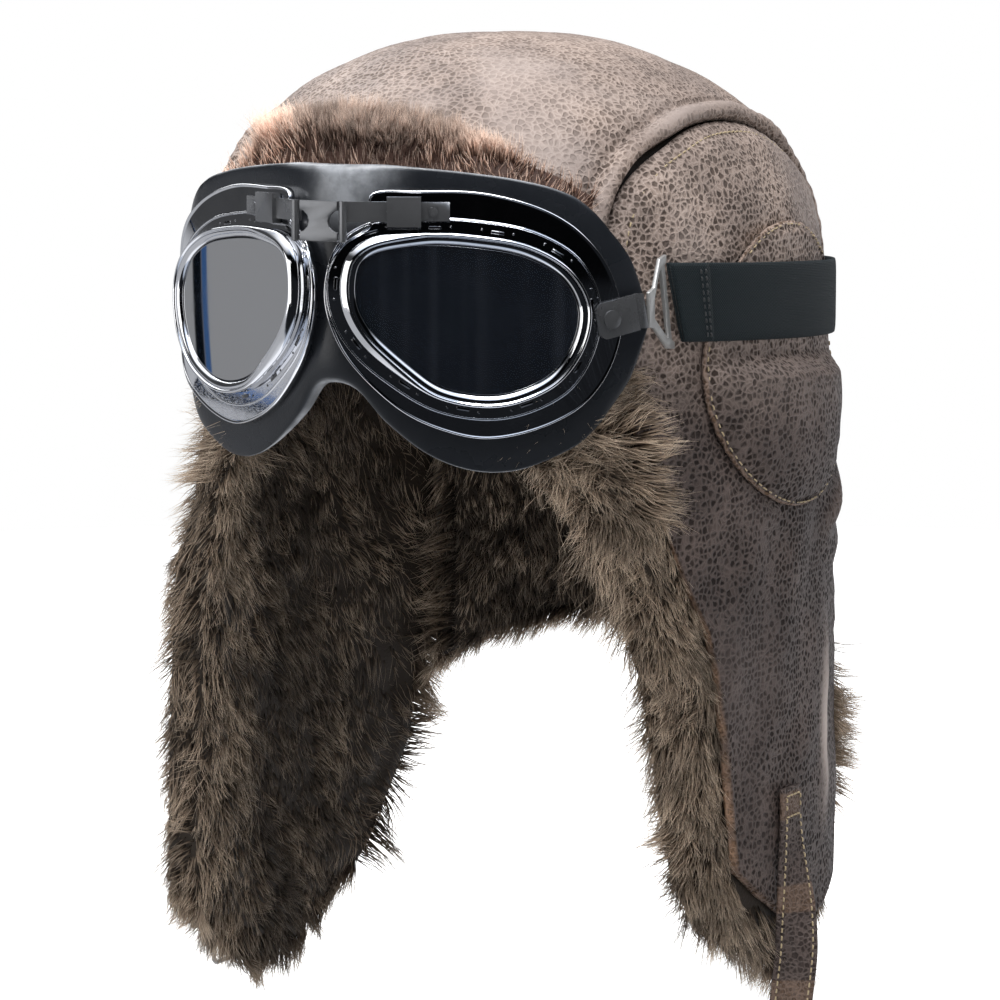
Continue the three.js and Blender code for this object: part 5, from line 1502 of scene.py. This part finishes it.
# %% Metal fittings, buckle and tab
def bevelled(name, material, body=HAT, width=0.22, angle=28):
    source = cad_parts[name]
    mesh = source.data.copy()
    made = bmesh.new()
    made.from_mesh(mesh)
    bmesh.ops.remove_doubles(made, verts=made.verts, dist=1e-6)
    bmesh.ops.dissolve_limit(made, angle_limit=np.radians(2), verts=made.verts, edges=made.edges)
    made.to_mesh(mesh)
    made.free()
    mesh.attributes.new("wear", "FLOAT", "POINT")
    obj = bpy.data.objects.new(f"{name}_dressed", mesh)
    bpy.context.scene.collection.objects.link(obj)
    mesh.polygons.foreach_set("use_smooth", np.ones(len(mesh.polygons), bool))
    bevel = obj.modifiers.new("edges", "BEVEL")
    bevel.width, bevel.segments = width * MM, 2
    bevel.limit_method, bevel.angle_limit = "ANGLE", np.radians(angle)
    bevel.harden_normals = True
    return dress(obj, material, body, replaces=[name])


bevelled("bridge_link", nickel)
for side in ("left", "right"):
    bevelled(f"bridge_bracket_{side}", nickel, width=0.16)
    bevelled(f"side_bracket_{side}", nickel, width=0.2)
    bevelled(f"strap_loop_{side}", zinc, width=0.3)
bevelled("buckle_tab", strap_leather, width=0.35)


def wire_shell(path, radius, closed_path, sides=14, toward=(1.0, 0.0, 0.0)):
    """A round wire along a path, whose rings are set square to it."""
    if closed_path:
        run = unit(np.roll(path, -1, 0) - np.roll(path, 1, 0))
    else:
        run = unit(np.gradient(path, axis=0))
    first = unit(np.cross(run, toward))
    second = unit(np.cross(run, first))
    ring = circle(1.0, sides)
    thick = np.broadcast_to(radius, len(path))[:, None, None]
    loops = path[:, None] + thick * (ring[None, :, :1] * first[:, None] + ring[None, :, 1:] * second[:, None])
    return loops, tube_faces(len(path), sides, closed_path)


BAR_Z, TAB_Y, WIRE, PIN_RADIUS, BUCKLE_HALF, BUCKLE_TALL = -309.0, -8.0, 0.85, 0.6, 7.0, 12.0
BAR_X = float(side_point("right", TAB_Y, -287.0, GAP + 0.5)[0]) - CHIN_THICK / 2


def make_buckle_wire():
    """The frame is a rounded rectangle of wire: a quarter circle at each corner."""
    corner, turn = 2.2, np.linspace(0, np.pi / 2, 12)
    half, top, foot = BUCKLE_HALF - corner, BAR_Z - corner, BAR_Z - BUCKLE_TALL + corner
    middles = [(half, top), (-half, top), (-half, foot), (half, foot)]
    flat = np.concatenate([np.stack([y + corner * np.cos(turn + k * np.pi / 2),
                                     z + corner * np.sin(turn + k * np.pi / 2)], -1)
                           for k, (y, z) in enumerate(middles)])
    path = np.stack([np.full(len(flat), BAR_X), TAB_Y + flat[:, 0], flat[:, 1]], -1)
    points, faces = shells([wire_shell(path, WIRE, True)])
    dress(add_mesh("buckle_wire", points, faces), zinc, BUCKLE, ["buckle_frame"])


def make_buckle_pin():
    """The prong is an eye round the frame's top bar and a tapering pin that rests on its lower bar."""
    bore, sides, steps = WIRE + GAP, 36, 40
    angle = np.linspace(0, 2 * np.pi, sides, endpoint=False)
    section = [[0, -1.4], [0.7, -1.45], [0.85, -1.2], [0.85, 1.2], [0.7, 1.45], [0, 1.4]]
    section = np.array(section) + [bore, 0]
    eye = np.stack([BAR_X + section[None, :, 0] * np.cos(angle)[:, None],
                    np.broadcast_to(TAB_Y + section[None, :, 1], (sides, len(section))),
                    BAR_Z + section[None, :, 0] * np.sin(angle)[:, None]], -1)
    rest_x = BAR_X - WIRE - GAP - PIN_RADIUS
    x = np.array([BAR_X - bore - 0.3, BAR_X - bore - 0.4, rest_x, rest_x, rest_x, rest_x + 0.2])
    z = np.array([-0.4, -2.0, -4.0, -8.0, -11.5, -13.6]) + BAR_Z
    t = np.linspace(0, 5, steps)
    pin_path = np.stack([np.interp(t, range(6), x), np.full(steps, TAB_Y), np.interp(t, range(6), z)], -1)
    thin = PIN_RADIUS * np.sqrt(np.clip((5.05 - t) / 0.6, 0.08, 1))
    points, faces = shells([ring_shell(eye), wire_shell(pin_path, thin, False, toward=(0.0, 1.0, 0.0))])
    dress(add_mesh("buckle_pin", points, faces), zinc, PRONG, ["buckle_prong"])


make_buckle_wire()
make_buckle_pin()

# %% [markdown]
# Fur is a soft backing with thousands of tapering strands rooted on it. A strand starts along the surface's
# normal, bends towards the way that the pile was combed and ends in a point. Neighbours share a clump, and
# their tips lean together. For a share t along a strand of length L:
#
# place = root + L * (t * start direction + t squared * bend towards the comb) + clump pull * t squared

# %% Strands
def nearest(points, centres):
    """The number of the nearest centre for each point, worked out in blocks."""
    found = np.empty(len(points), int)
    for start in range(0, len(points), 2000):
        block = points[start:start + 2000]
        found[start:start + 2000] = ((block[:, None] - centres[None]) ** 2).sum(-1).argmin(1)
    return found


def swirl(points, size, seed):
    """A slowly turning direction, so that neighbouring strands sweep the same way."""
    return np.stack([ripple(points, size, seed + k) for k in range(3)], -1)


CLUMP_SIZE, CLUMP_SWIRL, TONE_SWIRL, ROOT_DEPTH = 16.0, 34, 38, 0.8


def strand_shells(roots, normals, comb, length, width, seed, lift=0.5, clump=0.5, segments=2, wild=0.5,
                  lighter=0.0):
    """Closed three-sided strands. Returns points, faces and the values along and tone for each point."""
    rng = np.random.default_rng(seed)
    count, sides = len(roots), 3
    chosen = rng.random(count) < 1.0 / CLUMP_SIZE
    chosen[:3] = True
    group = nearest(roots, roots[chosen])
    centre, push = roots[chosen][group], rng.normal(size=(chosen.sum(), 3))[group]
    long_clump = rng.uniform(0.8, 1.2, chosen.sum())[group]
    length = length * rng.uniform(0.7, 1.15, count) * long_clump
    swept = unit(comb + wild * swirl(roots, CLUMP_SWIRL, seed + 5))
    start = unit(normals * lift + swept * (1 - lift) + 0.13 * rng.normal(size=(count, 3)))
    aim = unit(swept + 0.3 * push + 0.16 * rng.normal(size=(count, 3)) + 0.15 * normals)
    t = np.linspace(0, 1, segments + 1)[None, :, None]
    bend = t * start[:, None] + 0.6 * t ** 2 * (aim - start)[:, None]
    spine = (roots[:, None] - normals[:, None] * ROOT_DEPTH + length[:, None, None] * bend
             + clump * t ** 2 * (centre - roots)[:, None])
    run = unit(np.gradient(spine, axis=1))
    across = unit(np.cross(run, rng.normal(size=(count, 1, 3))))
    third = np.cross(run, across)
    taper = np.linspace(1.0, 0.45, segments)
    thick = width * rng.uniform(0.7, 1.25, count)[:, None, None, None] * taper[None, :, None, None]
    ring = circle(1.0, sides)
    shell = spine[:, :-1, None] + thick * (ring[None, None, :, :1] * across[:, :-1, None]
                                           + ring[None, None, :, 1:] * third[:, :-1, None])
    body = shell.reshape(count, segments * sides, 3)
    points = np.concatenate([body, spine[:, -1:]], 1)
    size = segments * sides + 1
    quads = grid_quads(segments, sides, wrap_cols=True)
    quads = np.concatenate([quads[:, [0, 1, 2]], quads[:, [0, 2, 3]]]).reshape(-1, 3)
    last = (segments - 1) * sides
    tips = np.array([[last + k, size - 1, last + (k + 1) % sides] for k in range(sides)])
    faces = np.concatenate([quads, tips, [[0, 1, 2]]])
    faces = (faces[None] + np.arange(count)[:, None, None] * size).reshape(-1, 3)
    along = np.concatenate([np.repeat(t[0, :-1, 0], sides), [1.0]])
    shade = 0.5 + 0.3 * ripple(roots, TONE_SWIRL, seed + 9)
    shade = shade + 0.6 * (rng.random(chosen.sum())[group] - 0.5)
    shade = shade + 0.14 * (rng.random(count) - 0.5)
    values = {"along": np.tile(along, count), "tone": np.repeat(np.clip(shade + lighter, 0, 1), size)}
    return points.reshape(-1, 3), faces, values


def sheet_normals(sheet, towards):
    """Unit normals of a grid of points, from its neighbours, turned to the side of a given direction."""
    normals = unit(np.cross(np.gradient(sheet, axis=0), np.gradient(sheet, axis=1)))
    return normals * np.sign((normals * towards).sum(-1, keepdims=True))


def pick(sheet, normals, count, seed, weight=None):
    """Random places on a grid of points, evenly by area and by an optional weight."""
    rng = np.random.default_rng(seed)
    a, b, c = sheet[:-1, :-1], sheet[1:, :-1], sheet[:-1, 1:]
    area = np.linalg.norm(np.cross(b - a, c - a), axis=-1)
    if weight is not None:
        area = area * weight[:-1, :-1]
    cumulative = np.cumsum(area.ravel())
    cell = np.searchsorted(cumulative, rng.random(count) * cumulative[-1])
    r, q = np.unravel_index(np.minimum(cell, area.size - 1), area.shape)
    s, t = rng.random((2, count, 1))
    blend = lambda grid: ((1 - s) * (1 - t) * grid[r, q] + s * (1 - t) * grid[r + 1, q]
                          + (1 - s) * t * grid[r, q + 1] + s * t * grid[r + 1, q + 1])
    return blend(sheet), unit(blend(normals)), (r, q)


def furred(name, backing, strand_sets, material):
    """A closed backing with its strands, as one piece."""
    points, faces = shells([backing])
    along, tone, start = [np.zeros(len(points))], [np.full(len(points), 0.4)], len(points)
    collected = [points]
    for shell_points, triangles, values in strand_sets:
        if signed_volume(shell_points, triangles) < 0:
            triangles = triangles[:, ::-1]
        faces.append(triangles + start)
        collected.append(shell_points)
        along.append(values["along"])
        tone.append(values["tone"])
        start += len(shell_points)
    values = {"along": np.concatenate(along), "tone": np.concatenate(tone)}
    return dress(add_mesh(name, np.concatenate(collected), faces, values), material, replaces=[name])


def fur_piece(name, outer, inner, strand_sets, material):
    both = np.concatenate([outer.reshape(-1, 3), inner.reshape(-1, 3)])
    return furred(name, (both, wall_faces(*outer.shape[:2])), strand_sets, material)


FULL = 1.0
THICKER = 1.0


def strands(sheet, normals, count, comb, length, width, seed, weight=None, lighter=0.0, **options):
    """Strands on a grid of points. Comb, length and lighter are one value, or one for each point."""
    roots, facing, cell = pick(sheet, normals, int(count * FULL), seed, weight)
    way = comb[cell] if np.ndim(comb) == 3 else np.broadcast_to(comb, roots.shape)
    longs = length[cell] if np.ndim(length) == 2 else length
    shift = lighter[cell] if np.ndim(lighter) == 2 else lighter
    return strand_shells(roots, facing, unit(way), longs, width * THICKER, seed + 1, lighter=shift, **options)


# %% [markdown]
# The lining fills the crown as a bowl and covers the inside of the nape, where it shows below the leather
# as a fringe. It hangs down with its own weight and lies flatter in the crown, which the photograph doesn't
# show.

# %% Crown and nape lining
FUR_DEPTH, FUR_GAP = 9.0, 1.0
FUR_OUTER = -(LEATHER + FUR_GAP)
FUR_INNER = FUR_OUTER - FUR_DEPTH
SKIRT_Z = -75


def make_crown_fur():
    """A bowl under the crown with a short upright skirt, as one closed backing with sparse strands inside."""
    turns, shares = np.linspace(0, 2 * np.pi, 97)[:-1], np.sin(np.linspace(0.06, np.pi / 2, 24))
    turn, share = np.meshgrid(turns, shares, indexing="ij")
    c = np.sign(np.cos(turn)) * np.abs(np.cos(turn)) ** (2 / POWER) * share
    s = np.sign(np.sin(turn)) * np.abs(np.sin(turn)) ** (2 / POWER) * share
    z = RIM_Z + CROWN_RISE * np.maximum(0, 1 - share ** POWER) ** (1 / POWER)
    lay = lambda depth: body_point(HALF_WIDTH * c, HALF_DEPTH * s, z, depth)
    skirt = lambda depth, low: body_point(HALF_WIDTH * c[:, -1], HALF_DEPTH * s[:, -1], low, depth)
    deep, shallow = FUR_INNER + 3.5, FUR_OUTER - 1.5
    low_in = [skirt(deep, z_low) for z_low in (SKIRT_Z, BROW_Z)]
    low_out = [skirt(shallow, z_low) for z_low in (BROW_Z, SKIRT_Z)]
    inside = np.concatenate([lay(deep), np.stack(low_in, 1)], 1)
    outside = np.concatenate([np.stack(low_out, 1), lay(shallow)[:, ::-1]], 1)
    loops = np.concatenate([inside, outside], 1).swapaxes(0, 1)
    middle = np.array([0, -6, -60.0])
    facing = sheet_normals(inside, middle - inside)
    comb = np.array([0.0, 0.35, -0.8])
    hairs = strands(inside, facing, 3200, comb, 9.0, 0.5, 301, lift=0.35)
    backing = loops, tube_faces(loops.shape[0], loops.shape[1], False)
    furred("crown_fur_lining", backing, [hairs], fur)


make_crown_fur()


def make_nape_fur():
    rows = 50
    x, down = np.meshgrid(np.linspace(-1, 1, 46) * (STRIP_HALF - 0.6), np.linspace(0, 1, rows), indexing="ij")
    z = mix(BROW_Z - 0.6, nape_edge(x) - 11, down)
    hang = ease((down - 0.8) / 0.2)
    flat = wall_point(x, 1, z, 0.0)
    outer = wall_point(x, 1, z, FUR_OUTER - 1.5 * hang)
    inner = wall_point(x, 1, z, FUR_INNER + 1.5 + 0.6 * ripple(flat, 21, 2) + 2.5 * hang)
    facing = sheet_normals(inner, [0, -1, 0])
    outwards = 0.9 * np.sign(x) * ease((np.abs(x) - STRIP_HALF + 16) / 14)
    comb = unit(np.stack([outwards, -0.1 + 0 * x, -1.0 + 0 * x], -1))
    weight = 0.5 + ease((-100 - z) / 60)
    tone = 0.2 * ripple(flat, 30, 8) - 0.2
    inside = strands(inner, facing, 4700, comb, 12.5, 0.23, 311, weight, tone, lift=0.4)
    fill = strands(inner, facing, 13000, comb, 7.5, 0.28, 312, weight, tone, lift=0.5, segments=1)
    # Long strands along both upright edges close the gap to the flaps.
    sides = []
    for k, way in ((0, -1), (-1, 1)):
        edge = np.stack([outer[k], inner[k]], 1) - [4.0 * way, 0, 0]
        sideward = np.zeros((rows, 2, 3)) + [way, -0.7, 0.0]
        sweep = np.array([0.9 * way, -0.9, -0.8])
        sides.append(strands(edge, sideward, 700, sweep, 15.0, 0.3, 341 + k, lift=0.5))
    bottom = np.stack([outer[:, -1], inner[:, -1]], 1)
    down_way = np.zeros_like(bottom) + [0, 0, -1.0]
    sideways = 1.1 * np.sign(x[:, :2]) * ease((np.abs(x[:, :2]) - 15) / 50)
    diagonal = unit(np.stack([sideways, -0.3 + 0 * sideways, -1.0 + 0 * sideways], -1))
    fringe = strands(bottom, down_way, 2500, diagonal, 15.0, 0.27, 321, None, 0.45, lift=0.35)
    # The fringe is combed apart to both sides, and thin strands lie outside on the backing below the leather.
    straight = np.array([0.0, -0.1, -1.0])
    outside = strands(outer[:, -9:], -facing[:, -9:], 600, straight, 10.0, 0.3, 331, lift=0.15)
    fur_piece("nape_fur_lining", outer, inner, [inside, fill, fringe, outside, *sides], fur)


make_nape_fur()


# %% [markdown]
# Each flap is lined with the deepest pile. In front of the leather the fur swells out as a thick fringe,
# and it hangs past the hem in loose points. The right flap is splayed, so the photograph looks into its
# lining.

# %% Flap fur
FRINGE_FRONT = [[-86, 14], [-105, 20], [-124, 25], [-134, 21], [-145, 20], [-165, 24], [-195, 23], [-262, 21]]
FRINGE_BULGE = {"left": 2.5, "right": 9.0}
FRINGE_BACK = [[-196, 5], [-214, 10], [-240, 9], [-262, 5]]
FLAP_FUR_TOP, FLAP_FUR_DEPTH, FRINGE_SHARE = BROW_Z - 0.6, 12.0, 0.16


def fur_places(share, down):
    """The y and z on the body for shares across and down a flap's fur. The first share is the fringe."""
    z = mix(FLAP_FUR_TOP, table(HEM, share) - 12, down)
    front = table(FRONT_EDGE, z) - 2
    back = np.minimum(SEAM_Y - 0.6, table(BACK_EDGE, z) + table(FRINGE_BACK, z))
    behind = mix(front, back, (share - FRINGE_SHARE) / (1 - FRINGE_SHARE))
    ahead = front - table(FRINGE_FRONT, z) * (1 - share / FRINGE_SHARE)
    return np.where(share > FRINGE_SHARE, behind, ahead), z


def make_flap_fur(side):
    across = np.concatenate([np.linspace(0, FRINGE_SHARE, 13)[:-1], np.linspace(FRINGE_SHARE, 1, 33)])
    share, down = np.meshgrid(across, np.linspace(0, 1, 62), indexing="ij")
    y, z = fur_places(share, down)
    bulge = FRINGE_BULGE[side] * ease((table(FRONT_EDGE, z) - y - 2) / 8) * ease((-120 - z) / 60)
    slack = 1.4 * ease((y - 5) / 25) * ease((-160 - z) / 20) * (side == "right")
    skin = FUR_OUTER + bulge - slack
    roll = np.sin(np.pi * np.clip(share * 1.06, 0, 1)) ** 0.4
    flat = side_point(side, y, z, 0.0)
    uneven = 0.7 * ripple(flat, 24, 14)
    deep = FUR_OUTER - 3 - (FLAP_FUR_DEPTH - 5.5) * roll * (1 - 0.5 * ease((down - 0.86) / 0.14)) + uneven
    fade = ease(np.minimum(share / 0.05, np.minimum((1 - share) / 0.03, (1 - down) / 0.04)))
    outer = side_point(side, y, z, mix(FUR_OUTER - 1.5, skin, fade))
    inner = side_point(side, y, z, mix(FUR_OUTER - 2.5, deep, fade))
    away = np.array([SIGN[side], 0.0, 0.0])
    out_way, in_way = sheet_normals(outer, away), sheet_normals(inner, -away)
    forward = ease(1 - share / 0.3)
    backward = ease((share - 0.8) / 0.2)
    comb = unit(np.stack([0 * share, 0.12 - 0.9 * forward + 0.8 * backward, -1.0 + 0.25 * forward], -1))
    long = 10.0 + 7.0 * forward
    # More strands go where the photograph looks: the fringe of the left flap and the inside of the right one.
    if side == "left":
        counts = {"inside": 1100, "fill": 5000, "front": 5000, "front_fill": 7500, "hem": 1300, "below": 600,
                  "below_fill": 400}
        seen = 0.3 + 1.3 * ease((0.5 - share) / 0.3)
        tone = 0.28 * ease((0.25 - share) / 0.2) + 0.2 * ease((z + 160) / 20) * ease((0.25 - share) / 0.1)
    else:
        counts = {"inside": 5800, "fill": 13500, "front": 1600, "front_fill": 2800, "hem": 1200, "below": 250,
                  "below_fill": 1500}
        seen = 0.5 + 0.8 * ease((0.95 - share) / 0.3)
        # Painted shade darkens the middle of the right flap's lining, except for one lighter lock. Its
        # lighter front edge is partly the fur's own tone and partly painted light.
        lock = 0.7 * ease(1 - np.abs(share - 0.52) / 0.07) * ease((z + 190) / 30)
        valley = ease(1 - np.abs(share - 0.5) / 0.28) - lock
        tone = 0.26 * ease((0.3 - share) / 0.2) - 0.5 * valley + 0.25 * ease((share - 0.85) / 0.1)
    sets = [strands(inner, in_way, counts["inside"], comb, 1.2 * long, 0.24, 401, seen, tone, lift=0.42),
            strands(inner, in_way, counts["fill"], comb, 7.5, 0.29, 402, seen, tone, lift=0.5, segments=1)]
    # The outer side shows in front of the leather, from just under its edge, and below its hem.
    ahead = share[:, 0] <= FRINGE_SHARE + 0.03
    fringe = outer[ahead], out_way[ahead]
    front_comb, front_tone = comb[ahead], tone[ahead]
    sets.append(strands(*fringe, counts["front"], front_comb, long[ahead], 0.24, 411, None, front_tone,
                        lift=0.3))
    sets.append(strands(*fringe, counts["front_fill"], front_comb, 8.0, 0.28, 412, None, front_tone,
                        lift=0.4, segments=1))
    low = down[0] > 0.9
    hem = outer[:, low], out_way[:, low]
    hanging = np.array([0, -0.2, -1.0])
    sets.append(strands(*hem, counts["below"], hanging, 12.0, 0.26, 415, lift=0.2))
    sets.append(strands(*hem, counts["below_fill"], hanging, 7.5, 0.34, 418, lift=0.3, segments=1))
    rim = np.stack([outer[:, -1], inner[:, -1]], 1)
    straight_down = np.zeros_like(rim) + [0, 0, -1.0]
    rim_comb = np.array([0, -0.1, -1.0])
    sets.append(strands(rim, straight_down, counts["hem"], rim_comb, 15.0, 0.27, 421, lift=0.6))
    # Loose tufts show beside the mask: forward and outward on the right, back over the leather on the left.
    if side == "left":
        lowest, raise_by, tufts, sweep = -140, 3.5, 1500, np.array([0.9, 0.9, -0.6])
    else:
        lowest, raise_by, tufts, sweep = -135, 0.0, 600, np.array([-1.0, -0.5, -0.35])
    tuft = np.ix_(ahead, (z[0] < -88) & (z[0] > lowest))
    raised = outer[tuft] + raise_by * out_way[tuft]
    sets.append(strands(raised, out_way[tuft], tufts, sweep, 14.0, 0.26, 441, None, 0.6, lift=0.35))
    # Long strands stand out along the back edge.
    back_rim = np.stack([outer[-1, 32:], inner[-1, 32:]], 1)
    rim_z = np.repeat(z[-1, 32:, None], 2, axis=1)
    if side == "left":
        part, out_and_back = ease(1 - np.abs(rim_z + 230) / 32), np.array([0.85 * SIGN[side], 0.7, -0.25])
    else:
        part, out_and_back = 1 + 3 * ease((rim_z + 236) / 20), np.array([0.6, 0.8, -0.4])
    back_comb = out_and_back + [0, 0, -0.25]
    sets.append(strands(back_rim, np.zeros_like(back_rim) + out_and_back, 1000, back_comb, 19.0, 0.3, 431,
                        part, 0.35, lift=0.5))
    fur_piece(f"flap_fur_{side}", outer, inner, sets, fur)


for side in ("left", "right"):
    make_flap_fur(side)


# %% [markdown]
# The brow carries a turned-up band of redder fur. The mask presses it flat, and above the mask it stands
# up.

# %% Forehead fur
BROW_FUR_TOP = [[-1, -46], [-0.85, -32], [-0.6, -22], [-0.3, -18], [0, -17], [0.3, -19.5], [0.6, -25],
                [0.85, -32], [1, -39]]
MASK_TOP = [[0, -27], [44, -29.5], [56, -31.5], [68, -35], [78, -41]]
BROW_FUR_HALF = 68.0


def make_brow_fur():
    share, up = np.meshgrid(np.linspace(-1, 1, 60), np.linspace(0, 1, 34), indexing="ij")
    x = share * BROW_FUR_HALF
    z = mix(BROW_Z + 2, table(BROW_FUR_TOP, share), up)
    y = -HALF_DEPTH * rest(x / HALF_WIDTH, height_share(z))
    proud = ease((z + 1 - table(MASK_TOP, np.abs(x))) / 7)
    flat = body_point(x, y, z, 0.0)
    edge = ease((1 - up) / 0.1) * ease((1 - np.abs(share)) / 0.06)
    lift = 0.5 + (1.1 + (5.2 + 0.8 * ripple(flat, 16, 3)) * proud) * edge
    outer = body_point(x, y, z, FUR_GAP + lift)
    inner = body_point(x, y, z, FUR_GAP)
    facing = sheet_normals(outer, [0, -1, 0.3])
    comb = unit(np.stack([0.35 * share, -0.1 + 0 * share, 1.0 + 0 * share], -1))
    long = 6.0 + 5.0 * ease((up - 0.4) / 0.5)
    # Painted light: the fur is lighter towards both ends and darker in the middle, with a little random tone
    # on top.
    tone = 0.85 * ease((np.abs(share + 0.02) - 0.15) / 0.5) - 0.28 + 0.1 * ripple(flat, 16, 7)
    # Few strands root where the mask presses the fur flat.
    weight = 0.02 + proud
    standing = strands(outer, facing, 7400, comb, long, 0.21, 501, weight, tone, lift=0.35, clump=0.3,
                       wild=0.45)
    fill = strands(outer, facing, 16500, comb, 0.7 * long, 0.24, 502, weight, tone, lift=0.4, clump=0.3,
                   wild=0.45, segments=1)
    fur_piece("forehead_fur", outer, inner, [standing, fill], brow_fur)


make_brow_fur()


# %% Size and triangle counts
visual_box = [list(corner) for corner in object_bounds()]
graph = bpy.context.evaluated_depsgraph_get()
counts = {}
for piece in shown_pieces():
    if piece.type == "MESH":
        finished = piece.evaluated_get(graph).to_mesh()
        counts[piece.name] = sum(len(face.vertices) - 2 for face in finished.polygons)
print("triangles:", sum(counts.values()), "in all, most in", sorted(counts.items(), key=lambda c: -c[1])[:12])
for label, box in (("packed", cad_box), ("dressed", visual_box)):
    print(label, [[round(v / MM, 1) for v in corner] for corner in box])
